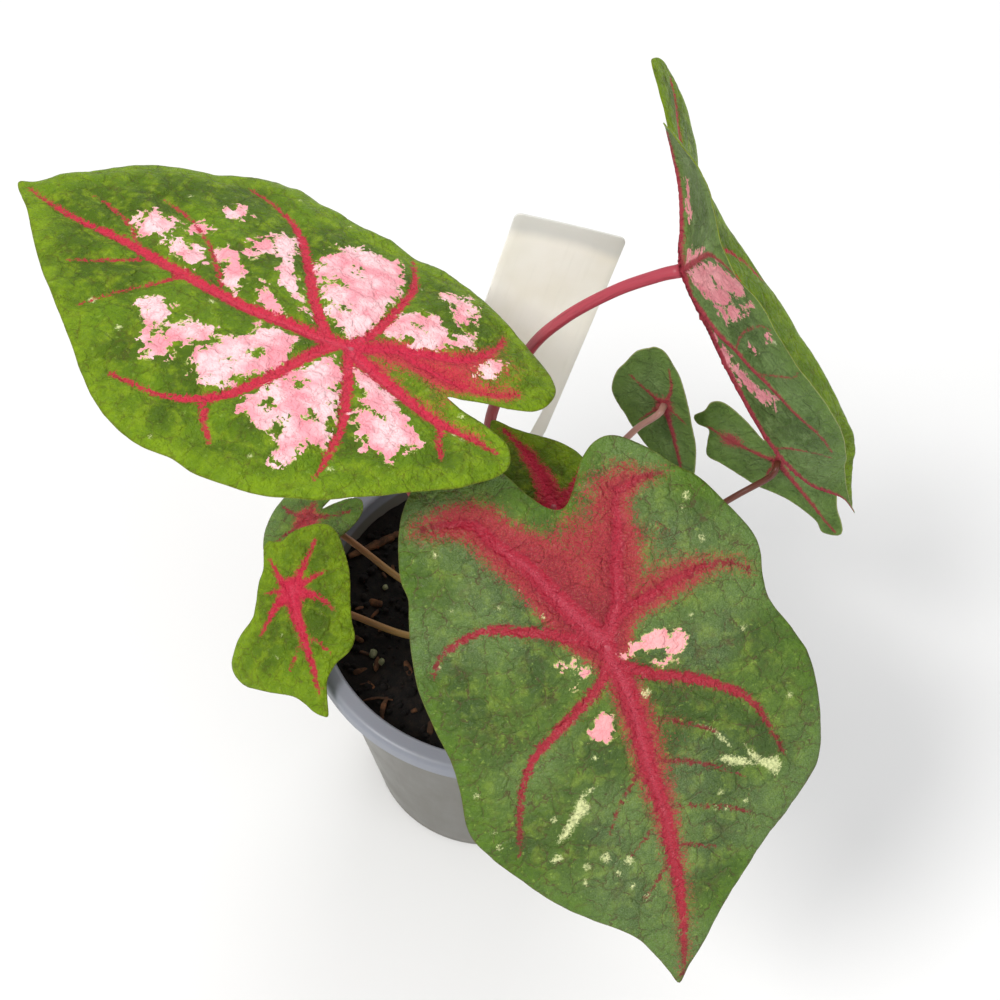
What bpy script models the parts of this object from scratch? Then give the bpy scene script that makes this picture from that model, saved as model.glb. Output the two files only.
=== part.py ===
# Caladium with eight leaves in a round plastic nursery pot.
# Metres, +Z up. The origin is the centre of the pot's base, on the table.
# The front of the plant, where its largest leaf hangs, faces -Y.
import math

import bmesh
import bpy
from mathutils import Vector

MM = 0.001

# ---- driving dimensions (mm) ------------------------------------------------
POT_HEIGHT = 88.6
RIM_RADIUS = 52.5          # outside of the rolled rim
RIM_INNER = 47.3           # mouth
RIM_BAND = 5.2             # height of the rolled rim
BODY_TOP_RADIUS = 48.3     # body just under the rim
BASE_RADIUS = 34.4         # outside, at the base
WALL = 1.6
BASE_THICK = 2.0
DRAIN_COUNT = 6
DRAIN_RADIUS = 3.2
DRAIN_CIRCLE = 24.0
SOIL_TOP = 79.5            # soil surface, below the rim
TUBER_RADIUS = 11.0
TUBER_TOP = 80.2
BLADE_THICK = 0.7
GAP = 0.3
LABEL_WIDTH = 28.0
LABEL_LENGTH = 107.0       # above the soil
LABEL_BURIED = 26.0
LABEL_THICK = 0.6
SPOKES_LARGE, RINGS_LARGE = 56, 7
SPOKES_SMALL, RINGS_SMALL = 36, 4

# ---- leaves -------------------------------------------------------------------
# Each flat-bladed leaf has a junction point, an upper normal and the direction
# of its tip. In the blade's own plane u runs across and v towards the tip, with
# the petiole's junction at (0, 0). `sag` bends it: (tip, sides, lobes, trough).
LEAVES = {
    "leaf_left": {
        "at": (-36.0, 1.0, 185.6), "up": (0.191, 0.103, 0.976), "tip": (-0.916, 0.375, 0.140),
        "sag": (0.0010, 0.0022, 0.0008, 0.04), "petiole": 1.5,
        "outline": [
            (8, 91.5), (11, 88), (18.5, 82), (26, 76), (32, 70), (35, 64), (38.5, 55.5), (43.5, 48),
            (46, 43), (46, 37), (43.5, 28), (41.5, 16), (40.5, 7), (40, -3.5), (37, -15.5),
            (33, -23), (28, -31.5), (24, -38), (18.5, -43), (12.5, -43.5), (8, -40.5), (5, -34.5),
            (2.2, -28.5), (-0.4, -24), (-1.8, -29), (-2.4, -36), (-4.5, -41), (-9, -43.5), (-13, -43),
            (-19, -39), (-24, -34), (-29.5, -27.5), (-35, -21), (-42, -11), (-46, -1.5), (-47.5, 9),
            (-47, 16), (-47.8, 22), (-46.5, 28.5), (-43.5, 35.5), (-38.5, 42.5), (-33.5, 48),
            (-24, 59.5), (-17.5, 67), (-11.5, 73), (-5, 79), (0.5, 84), (3.5, 87.5)]},
    "leaf_front": {
        "at": (25.0, -49.0, 149.6), "up": (0.087, -0.613, 0.785), "tip": (0.281, -0.741, -0.610),
        "sag": (0.0012, 0.0022, 0.0012, 0.04), "petiole": 1.5,
        "outline": [
            (-1, 80.3), (-4, 76.5), (-7.5, 72.5), (-14.5, 63), (-22, 55), (-28.5, 49), (-36, 43), (-41.5, 36.5),
            (-44.5, 27), (-45, 18.5), (-44, 11), (-41.5, 4.5), (-38, -2.5), (-37.5, -7), (-38, -12.5),
            (-37, -18), (-34, -23.5), (-28, -32), (-23.5, -36), (-16.5, -42.5), (-11, -45.5), (-7, -45),
            (-3.5, -42), (-1.5, -38.5), (1, -34), (3.5, -32), (6.5, -33), (10, -36.5), (14, -42),
            (17.5, -45), (22.5, -47), (27.5, -47), (32, -45), (36, -41), (39, -35), (40.5, -28.5),
            (41, -23.5), (40.5, -19), (42, -10.5), (42.5, -0.5), (41, 9), (39, 17), (38.5, 24),
            (38.5, 34), (35, 40.5), (28, 49), (21, 56), (13.5, 61.5), (7, 66.5), (3, 72.5), (1, 76.5)]},
    "leaf_rim": {
        "at": (-53.0, -12.0, 103.6), "up": (-0.300, -0.450, 0.841), "tip": (0.351, -0.872, -0.342),
        "sag": (0.004, 0.006, 0.003, 0.0), "petiole": 0.9,
        "outline": [
            (1, 33), (-0.5, 28), (-2, 24.5), (-5.5, 21.5), (-10, 19.5), (-12.5, 16.5), (-13, 13),
            (-14, 7.5), (-15.5, 2), (-16, -1.5), (-16, -8.5), (-15, -12), (-13.5, -14), (-11, -15),
            (-8.5, -15), (-6, -13.5), (-4, -11), (-1.8, -7.5), (-0.4, -6.5), (1.2, -10), (3.2, -13.2),
            (5, -13), (6.5, -8.5), (9, -5), (11.5, 0), (13.5, 3), (18.5, 6), (21.5, 9), (23.5, 12),
            (23.5, 15), (21.5, 18.5), (17.5, 21), (11.5, 24), (8, 26), (6, 28.5), (4.5, 31), (2.5, 32.8)]},
    "leaf_rim_back": {
        "at": (-52.5, 12.5, 101.5), "up": (-0.25, -0.10, 0.95), "tip": (-0.76, -0.63, -0.27),
        "sag": (0.004, 0.006, 0.003, 0.0), "petiole": 0.9,
        "outline": [
            (0, 14.5), (-2.5, 13), (-5.5, 10.5), (-8.5, 6), (-10, 1), (-10.5, -4), (-10, -9), (-8, -13),
            (-5, -14.5), (-2.5, -12.5), (-1, -8.5), (0, -5), (1, -8.5), (2.5, -13), (5, -15), (8.5, -13.5),
            (10.5, -9.5), (11.5, -4), (11, 1), (9, 6), (6, 10.5), (2.5, 13.5)]},
    "leaf_middle": {
        "at": (12.0, -7.0, 142.6), "up": (0.051, -0.121, 0.991), "tip": (-0.490, 0.862, 0.131),
        "sag": (0.0015, 0.003, 0.002, 0.0), "petiole": 1.3,
        "outline": [
            (-2.5, 28.5), (1, 24.5), (3.5, 21.8), (6.5, 19), (9.5, 16), (12.5, 11.5), (14.5, 5), (15, -2),
            (13, -8), (9.5, -12), (5.5, -12.5), (2.5, -9.5), (0.3, -5.5), (-2, -9.5), (-5, -12.5),
            (-9.5, -12), (-13.5, -8), (-15.5, -2), (-15.5, 5), (-14, 11), (-11.5, 16.5), (-8.5, 21),
            (-5, 25.5)]},
    "leaf_back": {
        "at": (41.0, 40.0, 127.6), "up": (0.362, 0.931, -0.052), "tip": (0.275, -0.160, -0.948),
        "sag": (0.0, 0.010, 0.0, 0.0), "petiole": 0.9,
        "outline": [
            (1, 38), (3, 33), (4.5, 27), (6, 20), (7, 13), (7.2, 5), (7, -1), (6.8, -6), (6, -11),
            (4.6, -15), (2.8, -18.5), (0.6, -19.8), (-1.4, -19.2), (-3.4, -18.6),
            (-5.4, -17.5), (-8.5, -14), (-11.5, -10.8), (-13.7, -5.5), (-13.5, -1), (-12, 4), (-10.5, 9),
            (-8.7, 14), (-6.7, 18.5), (-4.5, 25), (-2, 32)]},
    "leaf_back_right": {
        "at": (74.4, 36.8, 110.4), "up": (0.256, 0.958, -0.128), "tip": (0.629, -0.265, -0.731),
        "sag": (0.0, 0.006, 0.0, 0.0), "petiole": 0.9,
        "outline": [
            (2, 30.5), (-1.6, 28), (-1.2, 23), (-3.8, 15), (-7, 9.2), (-10, 5), (-12.3, -0.5),
            (-14.6, -6), (-16.5, -10.3), (-14, -14.5), (-11.5, -18), (-13.2, -21), (-12.6, -23.6),
            (-9.3, -23.8), (-6.1, -25.2), (-3, -23.4), (-0.8, -16), (0.3, -8), (1.6, -16), (4, -22), (8, -20.5),
            (11.5, -15), (13.5, -8), (14, -1), (12.5, 8), (9.5, 16), (7, 21), (5.5, 26), (4, 29.5)]},
}

# The right-hand leaf is folded along its midrib and hangs edge-on. Rows run
# down the midrib from its basal lobes to its tip:
# (v, midrib point, direction of the near half, direction of the far half)
FOLDED_ROWS = [
    (-52, (21.3, 49.6, 232.5), (-0.25, -0.83, 0.50), (0.45, 0.70, -0.55)),
    (-40, (26.0, 45.6, 223.6), (-0.15, -0.80, 0.58), (0.40, 0.72, -0.57)),
    (-30, (30.1, 41.3, 215.7), (-0.03, -0.74, 0.68), (0.32, 0.76, -0.57)),
    (-20, (33.9, 36.5, 207.3), (0.03, -0.64, 0.77), (0.24, 0.79, -0.56)),
    (-10, (35.8, 31.4, 199.3), (0.08, -0.61, 0.79), (0.33, 0.79, -0.51)),
    (0, (36.6, 26.2, 191.8), (0.15, -0.58, 0.80), (0.46, 0.76, -0.46)),
    (16, (44.7, 21.4, 178.0), (0.20, -0.53, 0.83), (0.55, 0.70, -0.46)),
    (32, (53.3, 17.0, 163.9), (0.25, -0.48, 0.84), (0.59, 0.69, -0.43)),
    (48, (63.5, 12.3, 149.5), (0.30, -0.36, 0.88), (0.64, 0.66, -0.40)),
    (64, (75.0, 11.3, 136.5), (0.33, -0.20, 0.92), (0.64, 0.70, -0.33)),
    (79, (85.6, 14.0, 127.7), (0.30, 0.00, 0.95), (0.62, 0.76, -0.20)),
    (90, (91.5, 16.0, 118.8), (0.35, -0.20, 0.92), (0.75, 0.60, 0.00)),
]
FOLDED_OUTLINE = [
    (0.4, 90), (1.6, 85), (4.5, 79), (11, 71.5), (19.2, 64), (25.5, 56), (29.2, 48), (31.5, 40), (32.2, 32),
    (32.7, 24), (32.7, 16), (31.8, 8), (30.5, 0), (28.8, -9), (26.8, -18), (23.5, -26), (18.5, -32),
    (12, -34.5), (7, -32.5), (4.0, -25), (2.0, -15), (0.2, -6), (-1.8, -15), (-2.8, -28), (-4.4, -42),
    (-6.5, -49.5), (-12, -51), (-17, -47), (-20.5, -40), (-24.5, -30), (-28, -20), (-31.5, -10), (-35.5, 0),
    (-38, 9), (-39.2, 18), (-39.8, 29), (-39, 40), (-36.5, 48.5), (-31.5, 57), (-24.5, 64.5), (-15, 72),
    (-7, 79), (-3.4, 84), (-1.6, 88)]
FOLDED_PETIOLE = 1.45

# Petioles: the leaf, then the points between the tuber and the junction.
PETIOLE_ROUTES = {
    "leaf_left": [(-5.5, 0.5, 81.3), (-12, 1.0, 100), (-22, 1.5, 130), (-30, 1.5, 160), (-34.5, 1.2, 178)],
    "leaf_front": [(2.0, -5.8, 81.3), (6.5, -15, 98), (13, -29, 120), (19.5, -41, 138), (23.5, -46.5, 145)],
    "leaf_right": [(3.0, 4.2, 81.3), (-1.8, 13, 106), (-5.0, 24.5, 134), (3.0, 31.0, 153.8), (11, 30.8, 167.5),
                   (22, 29.2, 180), (31.5, 27.2, 188.3)],
    "leaf_middle": [(6.2, -1.2, 81.3), (9.5, -3.2, 98), (11.5, -5.4, 120), (12.2, -6.8, 136)],
    "leaf_rim": [(-5.0, -4.6, 81.3), (-14, -9.4, 83.0), (-23.4, -12.0, 85.5), (-38.6, -11.2, 93.0),
                 (-49.5, -11.2, 99.5)],
    "leaf_rim_back": [(-6.0, 4.6, 81.3), (-14, 2.2, 84.2), (-25, 2.5, 89.0), (-42, 9.5, 98.5), (-50, 12.0, 100.2)],
    "leaf_back": [(7.2, 3.4, 81.3), (16, 14, 93), (26, 30, 110.5), (33.4, 35.6, 120.2), (38.0, 36.6, 125.2)],
    "leaf_back_right": [(8.6, -0.6, 81.3), (25, 9, 88), (48, 21, 96), (64, 31.2, 100.2), (72.2, 33.4, 106.8)],
}

COLOURS = {
    "pot": (0.19, 0.19, 0.18), "soil": (0.012, 0.009, 0.007), "tuber": (0.16, 0.09, 0.05),
    "label": (0.84, 0.80, 0.70), "blade": (0.10, 0.19, 0.03), "petiole_red": (0.30, 0.05, 0.06),
    "petiole_tan": (0.34, 0.22, 0.09),
}


def principled(name, colour, roughness, metallic=0.0):
    material = bpy.data.materials.new(name)
    material.use_nodes = True
    shader = material.node_tree.nodes["Principled BSDF"]
    shader.inputs["Base Color"].default_value = (*colour, 1.0)
    shader.inputs["Roughness"].default_value = roughness
    shader.inputs["Metallic"].default_value = metallic
    material.diffuse_color = (*colour, 1.0)
    return material


def catmull(points, samples, closed):
    """Smooth curve through the points, `samples` points long, evenly spread by length."""
    pts = [Vector(p) for p in points]
    n = len(pts)
    fine = []
    spans = n if closed else n - 1
    for i in range(spans):
        if closed:
            p0, p1, p2, p3 = pts[i - 1], pts[i], pts[(i + 1) % n], pts[(i + 2) % n]
        else:
            p1, p2 = pts[i], pts[i + 1]
            p0 = pts[i - 1] if i > 0 else p1 * 2 - p2
            p3 = pts[i + 2] if i + 2 < n else p2 * 2 - p1
        for k in range(12):
            t = k / 12.0
            fine.append(0.5 * ((2 * p1) + (p2 - p0) * t + (2 * p0 - 5 * p1 + 4 * p2 - p3) * t * t
                               + (3 * p1 - p0 - 3 * p2 + p3) * t ** 3))
    fine.append(pts[0] if closed else pts[-1])
    lengths = [0.0]
    for a, b in zip(fine, fine[1:]):
        lengths.append(lengths[-1] + (b - a).length)
    out = []
    count = samples if closed else samples - 1
    j = 0
    for s in range(samples):
        target = lengths[-1] * s / count
        while j < len(fine) - 2 and lengths[j + 1] < target:
            j += 1
        seg = lengths[j + 1] - lengths[j]
        f = 0.0 if seg == 0 else min(1.0, max(0.0, (target - lengths[j]) / seg))
        out.append(fine[j].lerp(fine[j + 1], f))
    return out


def flat_leaf_point(leaf, u, v):
    """Point of a blade's mid surface, in mm."""
    up = Vector(leaf["up"]).normalized()
    tip = Vector(leaf["tip"])
    tip = (tip - up * tip.dot(up)).normalized()
    across = tip.cross(up)
    a, b, c, d = leaf["sag"]
    w = -a * max(v, 0.0) ** 2 - b * u * u - c * min(v, 0.0) ** 2 + d * min(abs(u), 14.0)
    return Vector(leaf["at"]) + across * u + tip * v + up * w


def folded_leaf_point(u, v):
    """Point of the folded blade's mid surface, in mm."""
    rows = FOLDED_ROWS
    i = 0
    while i < len(rows) - 2 and v > rows[i + 1][0]:
        i += 1
    v0, v1 = rows[i][0], rows[i + 1][0]
    t = (v - v0) / (v1 - v0)

    def blend(index):
        p1, p2 = Vector(rows[i][index]), Vector(rows[i + 1][index])
        m1 = (p2 - Vector(rows[i - 1][index])) / (v1 - rows[i - 1][0]) if i > 0 else (p2 - p1) / (v1 - v0)
        m2 = ((Vector(rows[i + 2][index]) - p1) / (rows[i + 2][0] - v0)
              if i + 2 < len(rows) else (p2 - p1) / (v1 - v0))
        h = v1 - v0
        return (p1 * (2 * t ** 3 - 3 * t ** 2 + 1) + m1 * h * (t ** 3 - 2 * t ** 2 + t)
                + p2 * (-2 * t ** 3 + 3 * t ** 2) + m2 * h * (t ** 3 - t ** 2))

    midrib = blend(1)
    near, far = blend(2).normalized(), blend(3).normalized()
    soft = 2.0                                   # radius of the fold
    opening = (near + far).normalized()
    wing = near if u > 0 else far
    lift = math.sqrt(u * u + soft * soft) - soft
    return midrib + wing * lift + opening * (abs(u) - lift) * 0.35


def blade(name, outline, point, spokes, rings, material, collection):
    """A leaf blade: a disc of rings around the junction, out to the margin."""
    edge = catmull([(u, v, 0.0) for u, v in outline], spokes, True)
    bm = bmesh.new()
    bmesh.ops.create_grid(bm, x_segments=spokes, y_segments=rings, size=0.5)
    for vert in bm.verts:
        s = int(round((vert.co.x + 0.5) * spokes)) % spokes
        t = vert.co.y + 0.5
        u, v = edge[s].x * t, edge[s].y * t
        vert.co = point(u, v) * MM
    bmesh.ops.remove_doubles(bm, verts=bm.verts, dist=0.000001)
    bmesh.ops.recalc_face_normals(bm, faces=bm.faces)
    mesh = bpy.data.meshes.new(name)
    bm.to_mesh(mesh)
    bm.free()
    obj = bpy.data.objects.new(name, mesh)
    collection.objects.link(obj)
    thick = obj.modifiers.new("thickness", "SOLIDIFY")
    thick.thickness = BLADE_THICK * MM
    thick.offset = 0.0
    mesh.materials.append(material)
    mesh.shade_smooth()
    return obj


def petiole(name, route, radius, material, collection):
    """A leaf stalk: a round rod that thins towards the blade."""
    pts = catmull(route, 14, False)
    curve = bpy.data.curves.new(name, "CURVE")
    curve.dimensions = "3D"
    curve.bevel_depth = radius * MM
    curve.bevel_resolution = 2
    curve.use_fill_caps = True
    spline = curve.splines.new("POLY")
    spline.points.add(len(pts) - 1)
    for i, p in enumerate(pts):
        spline.points[i].co = (p.x * MM, p.y * MM, p.z * MM, 1.0)
        spline.points[i].radius = 1.25 - 0.25 * min(1.0, i / 6.0)
    curve.materials.append(material)
    obj = bpy.data.objects.new(name, curve)
    collection.objects.link(obj)
    return obj


def turned(name, profile, steps, material, collection):
    """A turned solid or shell from a profile of (radius, height) in mm, run top to bottom."""
    bm = bmesh.new()
    verts = [bm.verts.new((r * MM, 0.0, z * MM)) for r, z in profile]
    for a, b in zip(verts, verts[1:]):
        bm.edges.new((a, b))
    mesh = bpy.data.meshes.new(name)
    bm.to_mesh(mesh)
    bm.free()
    obj = bpy.data.objects.new(name, mesh)
    collection.objects.link(obj)
    screw = obj.modifiers.new("turn", "SCREW")
    screw.axis = "Z"
    screw.steps = steps
    screw.render_steps = steps
    screw.use_merge_vertices = True
    screw.merge_threshold = 0.00001
    screw.use_smooth_shade = True
    mesh.materials.append(material)
    mesh.shade_smooth()
    return obj


def main():
    for obj in list(bpy.data.objects):
        bpy.data.objects.remove(obj, do_unlink=True)
    plant = bpy.data.collections.new("caladium")
    cutters = bpy.data.collections.new("cutters")
    bpy.context.scene.collection.children.link(plant)
    bpy.context.scene.collection.children.link(cutters)

    pot_material = principled("pot_plastic", COLOURS["pot"], 0.45)
    soil_material = principled("potting_mix", COLOURS["soil"], 0.95)
    tuber_material = principled("tuber_skin", COLOURS["tuber"], 0.8)
    label_material = principled("label_plastic", COLOURS["label"], 0.4)
    blade_material = principled("leaf_blade", COLOURS["blade"], 0.45)
    red_material = principled("petiole_red", COLOURS["petiole_red"], 0.4)
    tan_material = principled("petiole_tan", COLOURS["petiole_tan"], 0.4)

    # Pot: mouth, rolled rim, tapered wall and flat base, as one turned wall.
    slope = (BODY_TOP_RADIUS - BASE_RADIUS) / (POT_HEIGHT - RIM_BAND)

    def outer(z):
        return BASE_RADIUS + slope * z

    rim_low = POT_HEIGHT - RIM_BAND
    roll = [(RIM_RADIUS - 1.8 + 1.8 * math.sin(a), POT_HEIGHT - 1.8 + 1.8 * math.cos(a))
            for a in [math.radians(d) for d in (0, 30, 60, 90)]]
    pot_profile = (
        [(0.0, BASE_THICK), (outer(BASE_THICK) - WALL - 1.5, BASE_THICK),
         (outer(BASE_THICK) - WALL, BASE_THICK + 1.5)]
        + [(outer(SOIL_TOP) - WALL, SOIL_TOP), (RIM_INNER - 0.2, POT_HEIGHT - 1.2), (RIM_INNER + 0.8, POT_HEIGHT)]
        + roll
        + [(RIM_RADIUS, rim_low + 0.4), (RIM_RADIUS - 0.4, rim_low), (RIM_RADIUS - 1.4, rim_low),
           (RIM_RADIUS - 2.0, rim_low + 2.2), (outer(rim_low) + 0.2, rim_low + 2.2),
           (outer(rim_low), rim_low - 0.4),
           (outer(1.6), 1.6), (BASE_RADIUS - 0.6, 0.4), (BASE_RADIUS - 1.4, 0.0), (0.0, 0.0)])
    pot = turned("pot", pot_profile, 64, pot_material, plant)
    for i in range(DRAIN_COUNT):
        angle = 2 * math.pi * (i + 0.5) / DRAIN_COUNT
        bpy.ops.mesh.primitive_cylinder_add(
            vertices=16, radius=DRAIN_RADIUS * MM, depth=0.012,
            location=(DRAIN_CIRCLE * MM * math.cos(angle), DRAIN_CIRCLE * MM * math.sin(angle), 0.0))
        drain = bpy.context.object
        drain.name = "drain_cutter_%d" % (i + 1)
        for coll in list(drain.users_collection):
            coll.objects.unlink(drain)
        cutters.objects.link(drain)
        drain.hide_render = True
        drain.display_type = "WIRE"
        cut = pot.modifiers.new("drain_%d" % (i + 1), "BOOLEAN")
        cut.operation = "DIFFERENCE"
        cut.solver = "EXACT"
        cut.object = drain

    # Soil: fills the pot, slightly domed, with a pit for the tuber.
    def soil_edge(z):
        return outer(z) - WALL - GAP

    pit = TUBER_RADIUS + GAP
    soil_profile = [
        (0.0, TUBER_TOP - 16.0 - GAP), (pit * 0.62, TUBER_TOP - 14.2 - GAP), (pit * 0.93, TUBER_TOP - 10.5),
        (pit, TUBER_TOP - 7.0), (pit * 0.97, TUBER_TOP - 3.4), (pit * 0.86, SOIL_TOP - 0.4),
        (pit + 1.0, SOIL_TOP + 0.5), (30.0, SOIL_TOP + 0.2), (soil_edge(SOIL_TOP) - 2.0, SOIL_TOP - 0.2),
        (soil_edge(SOIL_TOP - 1.0), SOIL_TOP - 1.0),
        (soil_edge(BASE_THICK + 1.5 + GAP), BASE_THICK + 1.8), (soil_edge(BASE_THICK) - 1.7, BASE_THICK + GAP),
        (0.0, BASE_THICK + GAP)]
    soil = turned("soil", soil_profile, 40, soil_material, plant)

    # Tuber: a flattened corm in the pit, its crown level with the soil.
    tuber_profile = [
        (0.0, TUBER_TOP), (TUBER_RADIUS * 0.70, TUBER_TOP), (TUBER_RADIUS * 0.80, TUBER_TOP - 1.2),
        (TUBER_RADIUS * 0.95, TUBER_TOP - 3.6), (TUBER_RADIUS, TUBER_TOP - 7.0),
        (TUBER_RADIUS * 0.92, TUBER_TOP - 10.5), (TUBER_RADIUS * 0.6, TUBER_TOP - 14.0), (0.0, TUBER_TOP - 16.0)]
    turned("tuber", tuber_profile, 24, tuber_material, plant)

    # Label: a flag-shaped plastic tag on a thin stake, pushed into the soil.
    half = LABEL_WIDTH / 2
    top = LABEL_LENGTH
    label_outline = [
        (-half + 1.2, top), (half - 1.2, top), (half, top - 1.2), (half, top - 20), (half - 0.2, 40), (half - 3.6, 8.0),
        (half - 7.5, -LABEL_BURIED), (half - 9.0, -LABEL_BURIED), (half - 6.6, 8.0), (half - 3.2, 47.0),
        (-half, top - 38.0), (-half, top - 1.2)]
    tag = bpy.data.curves.new("plant_label", "CURVE")
    tag.dimensions = "2D"
    tag.fill_mode = "BOTH"
    tag.extrude = LABEL_THICK * MM / 2
    spline = tag.splines.new("POLY")
    spline.points.add(len(label_outline) - 1)
    for i, (x, y) in enumerate(label_outline):
        spline.points[i].co = (x * MM, y * MM, 0.0, 1.0)
    spline.use_cyclic_u = True
    tag.materials.append(label_material)
    label = bpy.data.objects.new("plant_label", tag)
    plant.objects.link(label)
    label.location = (-12.2 * MM, 33.6 * MM, 78.6 * MM)
    label.rotation_euler = (math.radians(82.3), math.radians(13.0), math.radians(0.8))
    bpy.context.view_layer.update()

    # The slot that the stake makes in the soil.
    bpy.ops.mesh.primitive_cube_add(size=1.0)
    slot = bpy.context.object
    slot.name = "stake_slot_cutter"
    slot.dimensions = (7.4 * MM, (LABEL_BURIED + 20.0) * MM, (LABEL_THICK + 2 * GAP) * MM)
    bpy.ops.object.transform_apply(location=False, rotation=False, scale=True)
    slot.rotation_euler = label.rotation_euler
    slot.location = label.matrix_world @ Vector(((half - 6.6) * MM, (-LABEL_BURIED / 2 + 10.0 - GAP) * MM, 0.0))
    for coll in list(slot.users_collection):
        coll.objects.unlink(slot)
    cutters.objects.link(slot)
    slot.hide_render = True
    slot.display_type = "WIRE"
    cut = soil.modifiers.new("stake_slot", "BOOLEAN")
    cut.operation = "DIFFERENCE"
    cut.solver = "EXACT"
    cut.object = slot

    # Leaves and their petioles.
    clearance = BLADE_THICK / 2 + GAP + 0.25
    for name, leaf in LEAVES.items():
        big = name in ("leaf_left", "leaf_front")
        blade(name + "_blade", leaf["outline"], lambda u, v, l=leaf: flat_leaf_point(l, u, v),
              SPOKES_LARGE if big else SPOKES_SMALL, RINGS_LARGE if big else RINGS_SMALL, blade_material, plant)
        up = Vector(leaf["up"]).normalized()
        end = Vector(leaf["at"]) - up * (clearance + 0.25 * leaf["petiole"])
        route = [Vector(p) for p in PETIOLE_ROUTES[name]]
        route.insert(1, route[0] + Vector((0, 0, 1.8)))
        route += [end - up * 3.0, end - up * 1.2, end]
        petiole(name + "_petiole", route, leaf["petiole"],
                tan_material if name.startswith("leaf_rim") else red_material, plant)
    blade("leaf_right_blade", FOLDED_OUTLINE, folded_leaf_point, 60, 8, blade_material, plant)
    joint = folded_leaf_point(0.0, 0.0)
    rows = FOLDED_ROWS[5]
    away = -(Vector(rows[2]) + Vector(rows[3])).normalized()
    end = joint + away * (clearance + 0.6)
    route = [Vector(p) for p in PETIOLE_ROUTES["leaf_right"]] + [end + away * 1.6 + Vector((0, 0, -0.6)), end]
    route.insert(1, route[0] + Vector((0, 0, 1.8)))
    petiole("leaf_right_petiole", route, FOLDED_PETIOLE, red_material, plant)


main()
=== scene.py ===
# The looks of the caladium in its nursery pot: leaves with veins, red haze and
# pink patches, stalks, soil, tag and pot. Metres, +Z up, in the model's frame.
import math
import random

import bmesh
import bpy
import numpy as np
from mathutils import Matrix, Vector, geometry


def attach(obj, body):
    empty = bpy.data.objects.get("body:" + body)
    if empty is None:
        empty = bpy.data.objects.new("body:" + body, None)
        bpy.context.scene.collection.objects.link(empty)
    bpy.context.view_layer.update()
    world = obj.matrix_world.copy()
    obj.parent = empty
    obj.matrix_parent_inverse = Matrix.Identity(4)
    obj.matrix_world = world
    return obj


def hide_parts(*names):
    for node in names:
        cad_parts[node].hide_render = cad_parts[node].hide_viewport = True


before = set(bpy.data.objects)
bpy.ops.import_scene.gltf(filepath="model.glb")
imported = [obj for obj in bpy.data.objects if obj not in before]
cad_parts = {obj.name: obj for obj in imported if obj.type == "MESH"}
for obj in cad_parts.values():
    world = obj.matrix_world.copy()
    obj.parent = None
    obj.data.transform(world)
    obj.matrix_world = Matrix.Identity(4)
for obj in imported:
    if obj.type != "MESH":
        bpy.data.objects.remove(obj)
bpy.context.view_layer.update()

MM = 0.001
SPACING = 0.72          # mesh spacing on the large blades, mm
SMALL_SPACING = 0.42    # on the small ones

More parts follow.
